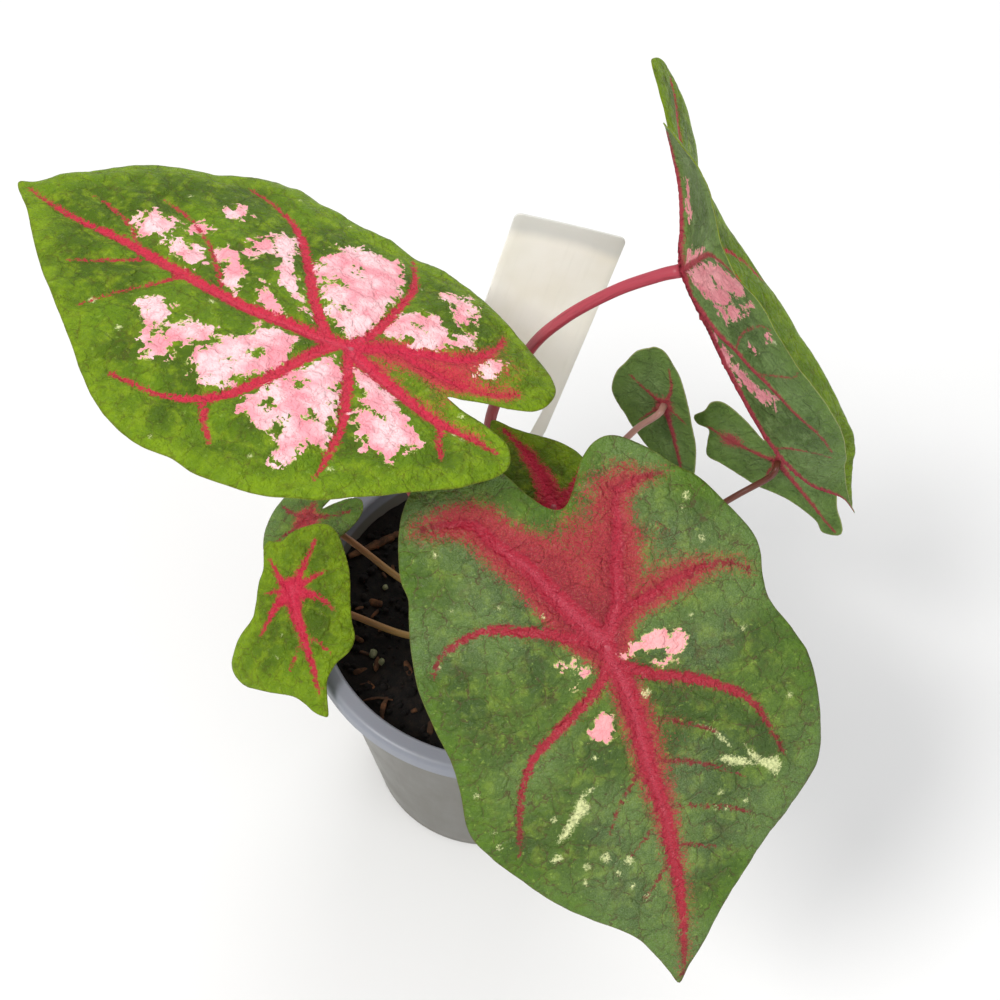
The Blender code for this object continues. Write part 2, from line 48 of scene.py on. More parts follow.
# ------------------------------------------------------------------ leaves
# The blades' own planes and outlines are the construction's; u runs across and
# v towards the tip, in mm, from the junction with the stalk.
LEAVES = {
    "leaf_left": {
        "at": (-36.0, 1.0, 185.6), "up": (0.191, 0.103, 0.976), "tip": (-0.916, 0.375, 0.140),
        "sag": (0.0010, 0.0022, 0.0008, 0.04),
        "outline": [
            (8, 91.5), (11, 88), (18.5, 82), (26, 76), (32, 70), (35, 64), (38.5, 55.5), (43.5, 48),
            (46, 43), (46, 37), (43.5, 28), (41.5, 16), (40.5, 7), (40, -3.5), (37, -15.5),
            (33, -23), (28, -31.5), (24, -38), (18.5, -43), (12.5, -43.5), (8, -40.5), (5, -34.5),
            (2.2, -28.5), (-0.4, -24), (-1.8, -29), (-2.4, -36), (-4.5, -41), (-9, -43.5), (-13, -43),
            (-19, -39), (-24, -34), (-29.5, -27.5), (-35, -21), (-42, -11), (-46, -1.5), (-47.5, 9),
            (-47, 16), (-47.8, 22), (-46.5, 28.5), (-43.5, 35.5), (-38.5, 42.5), (-33.5, 48),
            (-24, 59.5), (-17.5, 67), (-11.5, 73), (-5, 79), (0.5, 84), (3.5, 87.5)],
        # vein: half width at its start and end, how much red haze it carries, points
        "veins": [
            (1.9, 0.3, 0.7, [(0, 0), (-1.5, 7), (-2, 12), (-2.5, 19), (-3, 26.5), (-2, 37), (-0.5, 48.5),
                               (1.5, 60), (2.5, 71.5), (5, 82), (7, 88)]),
            (1.35, 0.3, 0.4, [(-1, 5.5), (6, 12), (11, 16), (17, 20), (28, 28.5), (34.5, 37.5), (38, 47)]),
            (1.25, 0.35, 0.5, [(0, 0), (2, 0), (8, -2), (17, -2.5), (24, -2.5), (29.5, -1.5), (39, 3)]),
            (1.45, 0.35, 1.1, [(0, 0), (1, -1.5), (6, -9), (9, -15.5), (13.5, -23), (22, -26.5), (27, -26.5)]),
            (0.9, 0.3, 0.9, [(5.5, -9.5), (5, -14.5), (5, -23.5), (7, -31.5), (11, -36.5)]),
            (1.85, 0.35, 0.9, [(0, 0), (-2, -2), (-4.5, -9.5), (-7.5, -21), (-8, -26), (-7.5, -35.5), (-7.5, -39.5)]),
            (0.9, 0.3, 0.6, [(-8, -23.5), (-9.5, -27), (-12.5, -28), (-17, -30.5)]),
            (1.3, 0.3, 0.6, [(0, 0), (-3.5, -1), (-10.5, -4.5), (-21, -9), (-30, -10.5), (-36, -11)]),
            (1.5, 0.25, 0.6, [(-1.5, 3), (-7.5, 6), (-18.5, 10), (-27, 14.5), (-32.5, 20.5), (-35, 28.5), (-35, 39)]),
            (0.8, 0.25, 0.4, [(-31, 18.5), (-35.5, 15.5), (-40, 11.5)]),
            (0.45, 0.15, 0.4, [(-2, 31), (5, 37), (12, 44), (17, 52), (20, 60)]),
            (0.45, 0.15, 0.4, [(-1.5, 41), (-9, 46), (-16, 51), (-22, 55)]),
            (0.4, 0.12, 0.3, [(0.5, 54), (6, 60), (10, 67), (12, 74)]),
            (0.4, 0.12, 0.3, [(-0.5, 50), (-7, 58), (-11, 65)]),
        ],
        "patches": [
            [(18, 19), (26.5, 18), (32, 14.5), (30.5, 10.5), (33.5, 5.5), (26, 0.5), (15.5, -0.5), (5, 0),
             (2.5, 1), (5.5, 8.5), (16, 16)],
            [(22, 32), (26, 28), (17, 25), (10, 20.5), (3, 12), (7.5, 21)],
            [(10, -3.5), (17.5, -4.5), (19, -11.5), (16.5, -17), (22, -20.5), (17, -21.5), (11.5, -14), (8.5, -6.5)],
            [(-22, 25.5), (-17, 24), (-11, 19.5), (-6.5, 19), (-5.5, 12.5), (-6, 9.5), (-15, 11), (-19.5, 14),
             (-25, 16), (-27.5, 21.5)],
            [(-20.5, 9), (-11, 4.5), (-7, 1.5), (-9, -2), (-19, -5), (-27.5, -8.5), (-31.5, -5), (-38.5, -3),
             (-33, -0.5), (-26.5, 1.5), (-31.5, 4), (-31, 8), (-28, 11)],
            [(-5.5, -4), (-8, -14), (-14, -21), (-16.5, -26.5), (-19.5, -22), (-25, -21.5), (-23.5, -16.5),
             (-18.5, -10), (-14.5, -11)],
            [(-18.5, 34.5), (-15, 32), (-14, 26.5), (-17.5, 26), (-21, 30), (-21.5, 33.5)],
            [(-15.5, 43.5), (-12.5, 41.5), (-13, 37.5), (-16.5, 37), (-19, 40)],
            [(-24, 37), (-20, 36), (-21.5, 32), (-25.5, 31), (-28, 33.5)],
            [(9, 60.5), (13, 58.5), (12.5, 52.5), (8.5, 52.5), (5.5, 56)],
            [(6, 46), (8.5, 43.5), (5.5, 40), (1.5, 41.5), (2.5, 44)],
            [(8, 36.5), (10.5, 35.5), (6, 31.5), (0, 29.5), (1, 32.5)],
            [(5, 25.5), (1, 24), (-0.5, 18)],
            [(30, -12), (33, -14.5), (25, -18), (22, -16)],
            [(13, -25.5), (17, -29), (15, -31), (12, -29), (10.5, -27)]],
        "spots": [(14.5, 47, 2), (5.5, 47.5, 2), (25, 43, 2), (9, 37.5, 2), (17.5, 32, 2), (12, 33, 1), (29.5, -10.5, 1.5)],
        "holes": [(16, 12, 1.6), (9, 6.5, 1.3), (23, 10.5, 1.4), (-15, 15.5, 1.3), (-20, 18.5, 1.1), (-17, 3.5, 1.5),
                  (-23, -2.5, 1.4), (-26, 6, 1.2), (-15, -14.5, 1.3), (15, -9, 1.2)],
        "pale": [(-19.5, 53, 1), (-6.5, 31.5, 0.8), (-24.5, -2, 0.8), (-6, 70.5, 0.4), (-24, 43.5, 0.8),
                 (39, 20.5, 0.6), (28.5, -3.5, 0.6), (-32.5, -12.5, 0.8), (-39, 2.5, 0.6), (-9, -30, 0.8),
                 (-9.5, -32, 0.6), (-3.5, -29, 0.8), (-45, 22, 0.6), (40.5, 35, 0.6), (24, 55.5, 0.6)],
        "pale_patches": [],
        "haze": [(4, -15, 5, 0.5), (4, -22, 5.5, 0.5), (-3, -24, 4, 0.3), (10, -24, 5, 0.42), (15, -29, 5, 0.36),
                 (19, -34, 5, 0.25), (9, -34, 5, 0.3), (2, -9, 4, 0.5), (-5, -33, 4, 0.25)],
        "seed": 3, "look": "bright", "pucker": 1.15,
    },
    "leaf_front": {
        "at": (25.0, -49.0, 149.6), "up": (0.087, -0.613, 0.785), "tip": (0.281, -0.741, -0.610),
        "sag": (0.0012, 0.0022, 0.0012, 0.04),
        "outline": [
            (-1, 80.3), (-4, 76.5), (-7.5, 72.5), (-14.5, 63), (-22, 55), (-28.5, 49), (-36, 43), (-41.5, 36.5),
            (-44.5, 27), (-45, 18.5), (-44, 11), (-41.5, 4.5), (-38, -2.5), (-37.5, -7), (-38, -12.5),
            (-37, -18), (-34, -23.5), (-28, -32), (-23.5, -36), (-16.5, -42.5), (-11, -45.5), (-7, -45),
            (-3.5, -42), (-1.5, -38.5), (1, -34), (3.5, -32), (6.5, -33), (10, -36.5), (14, -42),
            (17.5, -45), (22.5, -47), (27.5, -47), (32, -45), (36, -41), (39, -35), (40.5, -28.5),
            (41, -23.5), (40.5, -19), (42, -10.5), (42.5, -0.5), (41, 9), (39, 17), (38.5, 24),
            (38.5, 34), (35, 40.5), (28, 49), (21, 56), (13.5, 61.5), (7, 66.5), (3, 72.5), (1, 76.5)],
        "veins": [
            (2.2, 0.4, 0.9, [(0, 0), (0.2, 2), (-2, 9), (-3, 19), (-3.5, 28.5), (-5, 40), (-5, 48), (-5, 58), (-4, 68),
                              (-3, 75), (-2, 78.5)]),
            (1.25, 0.25, 0.5, [(0.5, 1.5), (2.5, 6.5), (8, 11), (14.5, 15.5), (20.5, 20), (24.5, 26), (27, 33.5), (28.5, 42)]),
            (1.35, 0.25, 0.5, [(0.3, 1.5), (-2, 4.5), (-9, 8), (-16, 10.5), (-23, 14), (-29, 19), (-32, 25), (-34.5, 33)]),
            (1.35, 0.3, 0.5, [(0.3, -0.5), (9, -4.5), (14, -6.5), (20.5, -8.5), (26, -9.5), (31, -8.5), (36, -6), (38.5, -2)]),
            (1.2, 0.25, 1.0, [(0, -2), (-4, -6.5), (-10.5, -9), (-18, -11.5), (-25, -13), (-32, -12), (-35, -9.5)]),
            (2.5, 0.4, 1.3, [(0.5, -2), (3.5, -5.5), (8.5, -13), (13.5, -21), (19, -27), (22.5, -32), (28.5, -34), (34.5, -34)]),
            (1.8, 0.45, 1.2, [(0, -2), (-4, -9), (-5.5, -17), (-7.5, -24.5), (-9, -32.5), (-12.5, -36)]),
            (0.9, 0.25, 0.9, [(-9.4, -33.5), (-15, -35), (-20.5, -35)]),
            (0.35, 0.1, 0.3, [(-3, 16), (-8, 18), (-14, 20.5), (-20, 24)]),
            (0.35, 0.1, 0.3, [(-3.5, 27), (-9, 28), (-17, 31), (-25, 36)]),
            (0.35, 0.1, 0.3, [(-4.5, 38), (-11, 39), (-18, 41), (-24, 44)]),
            (0.35, 0.1, 0.3, [(-5, 47), (-10, 48), (-15, 50)]),
            (0.35, 0.1, 0.3, [(-3.5, 27), (1.5, 31.5), (5, 36), (8, 41)]),
            (0.35, 0.1, 0.3, [(-4.5, 38), (-1, 43), (4, 47)]),
            (0.35, 0.1, 0.3, [(-5, 50), (-1, 54), (3, 58)]),
        ],
        "patches": [
            [(-1.5, 2), (-4, 1.5), (-4.5, -1), (-7.5, -1), (-9, -2.5), (-11.5, -2.5), (-13.5, -0.5), (-14.5, -1.5),
             (-17, -1.5), (-18, 1), (-17, 3.5), (-14.5, 5), (-13, 4), (-10, 3), (-6.5, 2.5), (-3, 3.5)],
            [(-9, 5), (-12, 4.5), (-15, 5.5), (-14, 6.5), (-11, 6.5)],
            [(12.5, 0.5), (11.5, 0), (10, 1.5), (8, 0), (7.5, 0.5), (9.5, 2.5), (11, 3), (12.5, 1.5)],
            [(8, 2.5), (6.5, 3), (4.5, 3), (5, 4.5), (7, 5.5), (8, 4.5)],
            [(10, 7), (8.5, 6.5), (7.5, 7.5), (8.5, 8), (10, 7.5)],
            [(5.5, 13.5), (4, 13), (3, 14), (1.5, 14.5), (2.5, 16.5), (2.5, 19.5), (4.5, 20.5), (6, 19.5),
             (8.5, 19.5), (9, 17.5), (7, 16)]],
        "spots": [], "holes": [],
        "pale_patches": [
            [(10, 29), (8.5, 29), (10, 30.5), (12, 31.5), (10.5, 33.5), (12, 35), (15, 37.5), (17, 39.5), (20, 41),
             (20, 39.5), (18, 37), (15.5, 34), (14, 31.5), (12, 30)],
            [(22.5, 43.5), (20.5, 42.5), (18.5, 43), (19.5, 44.5), (22, 45)],
            [(-18.5, 29.5), (-21, 29), (-24.5, 30.5), (-28.5, 33.5), (-26, 33.5), (-21.5, 32.5)],
            [(-25, 27.5), (-27.5, 30), (-29, 32), (-33, 32.5), (-33.5, 35), (-31.5, 37.5), (-29, 35), (-26, 31.5)],
            [(-16, 21), (-19, 22.5), (-21, 24.5), (-22.5, 27), (-23, 28.5), (-21, 27), (-19, 24), (-16.5, 22)]],
        "pale": [(10, 46, 1.2), (5, 48, 1.2), (8, 50, 0.8), (14.5, 47, 1), (15.5, 50.5, 0.8), (5.5, 54, 0.8),
                 (2.5, 57.5, 0.8), (35, 26, 0.8), (19.5, 34.5, 0.8), (8, 23, 0.6), (33, 35, 0.6), (32.5, 38.5, 0.8),
                 (-6, 11.5, 1.2), (-24, -29, 1), (-25.5, -19, 0.8), (-30.5, 2.5, 0.8), (-38, 20, 0.8), (-19.5, -3, 0.6),
                 (-18, 37.5, 0.8), (-16.5, 41, 0.6), (-19, 41.5, 0.6), (-23.5, 41, 0.6), (32.5, -28, 0.8),
                 (31.5, -15.5, 0.4), (16.5, -16.5, 0.4), (12.5, -10, 0.6), (21.5, -14, 0.6), (-22.5, -26.5, 0.6),
                 (37, -3.5, 0.4)],
        "haze": [(2.5, -8, 5.5, 1.0), (4, -17, 7.5, 0.5), (9, -22, 6, 0.3), (0, -23, 6, 0.35), (3, -28, 5, 0.3),
                 (14, -27, 6, 0.32), (-4, -31, 6, 0.3), (-8, -38, 6, 0.22), (-1, -37, 4, 0.2), (20, -34, 6, 0.3),
                 (27, -36, 5, 0.2), (1.5, -3.5, 4.0, 1.0), (-11, -17, 7, 0.27), (-17, -22, 6, 0.2),
                 (-9, 27, 7, 0.16), (-12, 19, 6, 0.16), (-20, -10, 6, 0.15)],
        "seed": 11, "look": "dusty", "pucker": 1.1,
    },
    "leaf_rim": {
        "at": (-53.0, -12.0, 103.6), "up": (-0.300, -0.450, 0.841), "tip": (0.351, -0.872, -0.342),
        "sag": (0.004, 0.006, 0.003, 0.0),
        "outline": [
            (1, 33), (-0.5, 28), (-2, 24.5), (-5.5, 21.5), (-10, 19.5), (-12.5, 16.5), (-13, 13),
            (-14, 7.5), (-15.5, 2), (-16, -1.5), (-16, -8.5), (-15, -12), (-13.5, -14), (-11, -15),
            (-8.5, -15.4), (-5.5, -15.4), (-2.8, -14.8), (-0.8, -13.8), (1.2, -14.2),
            (3.2, -15.0), (5, -13.6), (6.5, -8.5), (9, -5), (11.5, 0), (13.5, 3), (18.5, 6), (21.5, 9), (23.5, 12),
            (23.5, 15), (21.5, 18.5), (17.5, 21), (11.5, 24), (8, 26), (6, 28.5), (4.5, 31), (2.5, 32.8)],
        "veins": [
            (2.0, 0.3, 0.8, [(0, -1), (0.6, 5), (0.4, 12), (0.5, 20), (1.2, 27)]),
            (1.7, 0.15, 0.7, [(0, 0), (-4, 2), (-7, 4.5), (-9.5, 8)]),
            (1.7, 0.15, 0.7, [(0, 0), (5, 2), (8, 4.5), (12, 8)]),
            (1.6, 0.15, 0.7, [(0, 0), (-4, -4.5), (-7, -8), (-9.5, -11)]),
            (1.5, 0.15, 0.6, [(0, 0), (-5, -1.5), (-10, -2)]),
            (1.5, 0.15, 0.6, [(0, 0), (2.2, -4), (3.4, -8), (4, -10.5)]),
            (1.3, 0.15, 0.6, [(0, 0), (4.5, -1.5), (7.5, -1.8)]),
            (0.35, 0.12, 0.2, [(0.4, 12), (-3, 15), (-5, 18)]),
            (0.35, 0.12, 0.2, [(0.4, 12), (4, 16), (7, 19)])],
        "patches": [], "spots": [], "holes": [], "pale_patches": [],
        "pale": [(6, 10, 0.4), (-6, 8, 0.4), (9, 15, 0.4)],
        "haze": [(0, 0, 3.2, 0.85)],
        "seed": 5, "look": "bright", "pucker": 0.35,
    },
    "leaf_rim_back": {
        "at": (-52.5, 12.5, 101.5), "up": (-0.25, -0.10, 0.95), "tip": (-0.76, -0.63, -0.27),
        "sag": (0.004, 0.006, 0.003, 0.0),
        "outline": [
            (0, 14.5), (-2.5, 13), (-5.5, 10.5), (-8.5, 6), (-10, 1), (-10.5, -4), (-10, -9), (-8, -13),
            (-5, -14.5), (-2.5, -12.5), (-1, -8.5), (0, -5), (1, -8.5), (2.5, -13), (5, -15), (8.5, -13.5),
            (10.5, -9.5), (11.5, -4), (11, 1), (9, 6), (6, 10.5), (2.5, 13.5)],
        "veins": [
            (0.8, 0.2, 0.5, [(0, 0), (0, 5), (0, 11)]),
            (0.6, 0.2, 0.5, [(0, 0), (4, 2), (8, 3)]), (0.6, 0.2, 0.5, [(0, 0), (-4, 2), (-7.5, 3)]),
            (0.6, 0.2, 0.5, [(0, 0), (3.5, -5), (6, -10)]), (0.6, 0.2, 0.5, [(0, 0), (-3.5, -5), (-6, -10)])],
        "patches": [], "spots": [], "holes": [], "pale_patches": [], "pale": [],
        "haze": [(0, 0, 3.5, 0.9)],
        "seed": 6, "look": "dusty", "pucker": 0.3,
    },
    "leaf_middle": {
        "at": (12.0, -7.0, 142.6), "up": (0.051, -0.121, 0.991), "tip": (-0.490, 0.862, 0.131),
        "sag": (0.0015, 0.003, 0.002, 0.0),
        "outline": [
            (-2.5, 28.5), (1, 24.5), (3.5, 21.8), (6.5, 19), (9.5, 16), (12.5, 11.5), (14.5, 5), (15, -2),
            (13, -8), (9.5, -12), (5.5, -12.5), (2.5, -9.5), (0.3, -5.5), (-2, -9.5), (-5, -12.5),
            (-9.5, -12), (-13.5, -8), (-15.5, -2), (-15.5, 5), (-14, 11), (-11.5, 16.5), (-8.5, 21),
            (-5, 25.5)],
        "veins": [
            (1.5, 0.45, 1.1, [(0, 0), (1, 7.5), (0.8, 14), (0, 19), (-1.5, 25)]),
            (1.1, 0.25, 0.7, [(0, 0), (5, 2), (9, 5), (12, 8)]), (1.1, 0.25, 0.7, [(0, 0), (-5, 2), (-9, 6), (-12, 9)]),
            (1.1, 0.25, 0.7, [(0, 0), (5, -4), (9, -8)]), (1.1, 0.25, 0.7, [(0, 0), (-5, -4), (-9, -8)])],
        "patches": [], "spots": [], "holes": [], "pale_patches": [], "pale": [],
        "haze": [(0, 0, 4.5, 0.7), (1, 8, 3.4, 0.35), (0.5, 15, 2.4, 0.3)],
        "seed": 7, "look": "bright", "pucker": 0.3,
    },
    "leaf_back": {
        "at": (41.0, 40.0, 127.6), "up": (0.362, 0.931, -0.052), "tip": (0.275, -0.160, -0.948),
        "sag": (0.0, 0.010, 0.0, 0.0),
        "outline": [
            (1, 38), (3, 33), (4.5, 27), (6, 20), (7, 13), (7.2, 5), (7, -1), (6.8, -6), (6, -11),
            (4.6, -15), (2.8, -18.5), (0.6, -19.7), (-1.4, -19.1), (-3.4, -18.5),
            (-5.4, -17.4), (-8.5, -14), (-11.5, -10.8), (-13.7, -5.5), (-13.5, -1), (-12, 4), (-10.5, 9),
            (-8.7, 14), (-6.7, 18.5), (-4.5, 25), (-2, 32)],
        "veins": [
            (0.8, 0.25, 0.5, [(0, 0), (0.6, 6), (1, 13), (1.2, 22), (1, 33)]),
            (0.5, 0.15, 0.3, [(0, 0), (-4, 3), (-8, 6)]), (0.5, 0.15, 0.3, [(0, 0), (3, 3), (5.5, 6)]),
            (0.6, 0.15, 0.3, [(0, 0), (-4.5, -5), (-8, -10)]), (0.6, 0.15, 0.3, [(0, 0), (3, -6), (3.5, -13)])],
        "patches": [], "spots": [], "holes": [], "pale_patches": [], "pale": [],
        "haze": [(0, 0, 3.5, 0.7)],
        "seed": 8, "look": "bright", "pucker": 0.3,
    },
    "leaf_back_right": {
        "at": (74.4, 36.8, 110.4), "up": (0.256, 0.958, -0.128), "tip": (0.629, -0.265, -0.731),
        "sag": (0.0, 0.006, 0.0, 0.0),
        "outline": [
            (2, 30.5), (-1.6, 28), (-1.2, 23), (-3.8, 15), (-7, 9.2), (-10, 5), (-12.3, -0.5),
            (-14.6, -6), (-16.5, -10.3), (-14, -14.5), (-11.5, -18), (-13.2, -21), (-12.6, -23.6),
            (-9.3, -23.8), (-6.1, -25.2), (-3, -23.4), (-0.8, -16), (0.3, -8), (1.6, -16), (4, -22), (8, -20.5),
            (11.5, -15), (13.5, -8), (14, -1), (12.5, 8), (9.5, 16), (7, 21), (5.5, 26), (4, 29.5)],
        "veins": [
            (0.8, 0.25, 0.5, [(0, 0), (0.6, 8), (1.2, 16), (1.5, 24), (2, 29)]),
            (0.5, 0.15, 0.3, [(0, 0), (-4, 2), (-7, 5)]), (0.5, 0.15, 0.3, [(0, 0), (5, 3), (9, 7)]),
            (0.6, 0.2, 0.6, [(0, 0), (-5, -7), (-9, -14), (-11, -19)]), (0.6, 0.15, 0.3, [(0, 0), (4, -7), (7, -14)])],
        "patches": [], "spots": [], "holes": [], "pale_patches": [], "pale": [],
        "haze": [(-8, -12, 3.5, 0.6), (0, 0, 2.5, 0.5)],
        "seed": 9, "look": "bright", "pucker": 0.3,
    },
    "leaf_right": {
        "outline": [
            (0.4, 90), (1.6, 85), (4.5, 79), (11, 71.5), (19.2, 64), (25.5, 56), (29.2, 48), (31.5, 40), (32.2, 32),
            (32.7, 24), (32.7, 16), (31.8, 8), (30.5, 0), (28.8, -9), (26.8, -18), (23.5, -26), (18.5, -32),
            (12, -34.5), (7, -32.5), (4.0, -25), (2.0, -15), (0.2, -6), (-1.8, -15), (-2.8, -28), (-4.4, -42),
            (-6.5, -49.5), (-12, -51), (-17, -47), (-20.5, -40), (-24.5, -30), (-28, -20), (-31.5, -10), (-35.5, 0),
            (-38, 9), (-39.2, 18), (-39.8, 29), (-39, 40), (-36.5, 48.5), (-31.5, 57), (-24.5, 64.5), (-15, 72),
            (-7, 79), (-3.4, 84), (-1.6, 88)],
        "veins": [
            (2.0, 0.7, 0.4, [(0, 0), (0, 16), (0, 32), (0, 48), (0, 64), (0, 78), (0, 88)]),
            (0.95, 0.2, 0.4, [(0, 0), (1, 6), (5, 17), (10, 23), (13, 29), (16, 35), (18, 42), (19.5, 52), (17, 60)]),
            (0.8, 0.2, 0.4, [(0, 0), (4, 0), (13, -0.5), (22, -0.5), (27, 2), (31, 6), (32.5, 9)]),
            (1.2, 0.6, 0.5, [(0, 0), (1.3, -6), (3, -15), (5.2, -25), (9, -30), (14, -32)]),
            (0.95, 0.2, 0.4, [(0, 0), (-1, 6), (-6, 17), (-12, 23), (-17, 30), (-22, 38), (-25, 47), (-23, 56)]),
            (0.8, 0.2, 0.4, [(0, 0), (-5, 0), (-15, -1), (-25, 0), (-32, 4), (-37, 10)]),
            (1.1, 0.3, 0.8, [(0, 0), (-3, -7), (-6, -18), (-10, -30), (-14, -40), (-15, -46)]),
            (0.5, 0.15, 0.3, [(-5, -14), (-12, -18), (-20, -20), (-27, -19)]),
            (0.3, 0.1, 0.1, [(10, 23), (18, 20), (27, 20), (31, 22)]),
            (0.3, 0.1, 0.1, [(14, 31), (21, 33), (28, 35), (31, 34)]),
            (0.3, 0.1, 0.1, [(0, 50), (6, 52), (12, 57), (15, 62)])],
        "patches": [
            [(4, 1), (15, 0.5), (24, 2), (29, 7), (32, 10), (27, 12), (20, 11), (17, 12), (9, 12), (6, 6)],
            [(9, 13), (18, 13), (27, 13.5), (29, 15), (20, 16), (10, 15)],
            [(2, 16), (3, 21), (5, 26), (9, 31), (11, 35), (15, 38), (11, 40), (8, 38), (4, 33), (2, 28), (0, 21)],
            [(5, -4), (15, -2), (18, -1.5), (7, -0.5)],
            [(8, -20), (11, -19), (8, -13), (5, -12)],
            [(-6, 6), (-12, 4), (-18, 6), (-20, 10), (-18, 16), (-14, 15), (-9, 13)],
            [(-4, 20), (-8, 26), (-12, 34), (-10, 40), (-5, 34), (-2, 26)],
            [(-8, -6), (-16, -5), (-22, -6), (-18, -12), (-11, -13)],
            [(-14, 52), (-19, 55), (-16, 61), (-11, 60)]],
        "spots": [(28, 24, 1.4), (18, 25, 0.9), (-8, 56, 1.3)],
        "holes": [(17, 6, 1.0), (-18, 9, 1.5), (-8, 30, 1.2)],
        "pale": [(29, 25, 1.0), (-10, 66, 0.8)], "pale_patches": [],
        "haze": [(-3, -8, 5, 0.6), (-8, -26, 4, 0.4), (0, 0, 5, 0.7)],
        "seed": 13, "look": "bright", "pucker": 0.4,
    },
}
FOLDED_ROWS = [
    (-52, (21.3, 49.6, 232.5), (-0.25, -0.83, 0.50), (0.45, 0.70, -0.55)),
    (-40, (26.0, 45.6, 223.6), (-0.15, -0.80, 0.58), (0.40, 0.72, -0.57)),
    (-30, (30.1, 41.3, 215.7), (-0.03, -0.74, 0.68), (0.32, 0.76, -0.57)),
    (-20, (33.9, 36.5, 207.3), (0.03, -0.64, 0.77), (0.24, 0.79, -0.56)),
    (-10, (35.8, 31.4, 199.3), (0.08, -0.61, 0.79), (0.33, 0.79, -0.51)),
    (0, (36.6, 26.2, 191.8), (0.15, -0.58, 0.80), (0.46, 0.76, -0.46)),
    (16, (44.7, 21.4, 178.0), (0.20, -0.53, 0.83), (0.55, 0.70, -0.46)),
    (32, (53.3, 17.0, 163.9), (0.25, -0.48, 0.84), (0.59, 0.69, -0.43)),
    (48, (63.5, 12.3, 149.5), (0.30, -0.36, 0.88), (0.64, 0.66, -0.40)),
    (64, (75.0, 11.3, 136.5), (0.33, -0.20, 0.92), (0.64, 0.70, -0.33)),
    (79, (85.6, 14.0, 127.7), (0.30, 0.00, 0.95), (0.62, 0.76, -0.20)),
    (90, (91.5, 16.0, 118.8), (0.35, -0.20, 0.92), (0.75, 0.60, 0.00)),
]
PETIOLES = {
    "leaf_left": (1.5, "red", [(-5.5, 0.5, 81.3), (-12, 1.0, 100), (-22, 1.5, 130), (-30, 1.5, 160), (-34.5, 1.2, 178)]),
    "leaf_front": (1.5, "red", [(2.0, -5.8, 81.3), (6.5, -15, 98), (13, -29, 120), (19.5, -41, 138), (23.5, -46.5, 145)]),
    "leaf_right": (1.45, "red", [(3.0, 4.2, 81.3), (-1.8, 13, 106), (-5.0, 24.5, 134), (3.0, 31.0, 153.8), (11, 30.8, 167.5),
                                 (22, 29.2, 180), (31.5, 27.2, 188.3)]),
    "leaf_middle": (1.3, "red", [(6.2, -1.2, 81.3), (9.5, -3.2, 98), (11.5, -5.4, 120), (12.2, -6.8, 136)]),
    "leaf_rim": (0.9, "tan", [(-5.0, -4.6, 81.3), (-14, -9.4, 83.0), (-23.4, -12.0, 85.5), (-38.6, -11.2, 93.0),
                              (-49.5, -11.2, 99.5)]),
    "leaf_rim_back": (0.9, "tan", [(-6.0, 4.6, 81.3), (-14, 2.2, 84.2), (-25, 2.5, 89.0), (-42, 9.5, 98.5), (-50, 12.0, 100.2)]),
    "leaf_back": (0.9, "pinkish", [(7.2, 3.4, 81.3), (16, 14, 93), (26, 30, 110.5), (33.4, 35.6, 120.2), (38.0, 36.6, 125.2)]),
    "leaf_back_right": (0.9, "brown", [(8.6, -0.6, 81.3), (25, 9, 88), (48, 21, 96), (64, 31.2, 100.2), (72.2, 33.4, 106.8)]),
}


# ------------------------------------------------------------------ helpers
def lin(r, g, b):
    """A colour seen on a screen, 0 to 255, as linear light."""
    out = []
    for c in (r, g, b):
        c /= 255.0
        out.append(c / 12.92 if c <= 0.04045 else ((c + 0.055) / 1.055) ** 2.4)
    return (*out, 1.0)


def unit(a):
    return a / np.maximum(np.linalg.norm(a, axis=-1, keepdims=True), 1e-12)


def value_noise(x, y, seed):
    """Smooth noise from 0 to 1 on a lattice of unit cells."""
    xi, yi = np.floor(x).astype(np.int64), np.floor(y).astype(np.int64)
    fx, fy = x - xi, y - yi
    fx, fy = fx * fx * (3 - 2 * fx), fy * fy * (3 - 2 * fy)

    def corner(i, j):
        h = (i * 374761393 + j * 668265263 + seed * 2147483647) & 0xFFFFFFFF
        h = ((h ^ (h >> 13)) * 1274126177) & 0xFFFFFFFF
        h = h ^ (h >> 16)
        return (h & 0xFFFF) / 65535.0

    top = corner(xi, yi) * (1 - fx) + corner(xi + 1, yi) * fx
    low = corner(xi, yi + 1) * (1 - fx) + corner(xi + 1, yi + 1) * fx
    return top * (1 - fy) + low * fy


def fbm(x, y, seed, octaves=3):
    total, amp, size = 0.0, 0.5, 1.0
    for k in range(octaves):
        total = total + amp * value_noise(x * size + 17.3 * k, y * size - 9.1 * k, seed + k)
        amp, size = amp * 0.5, size * 2.03
    return total / (1 - 0.5 ** octaves)


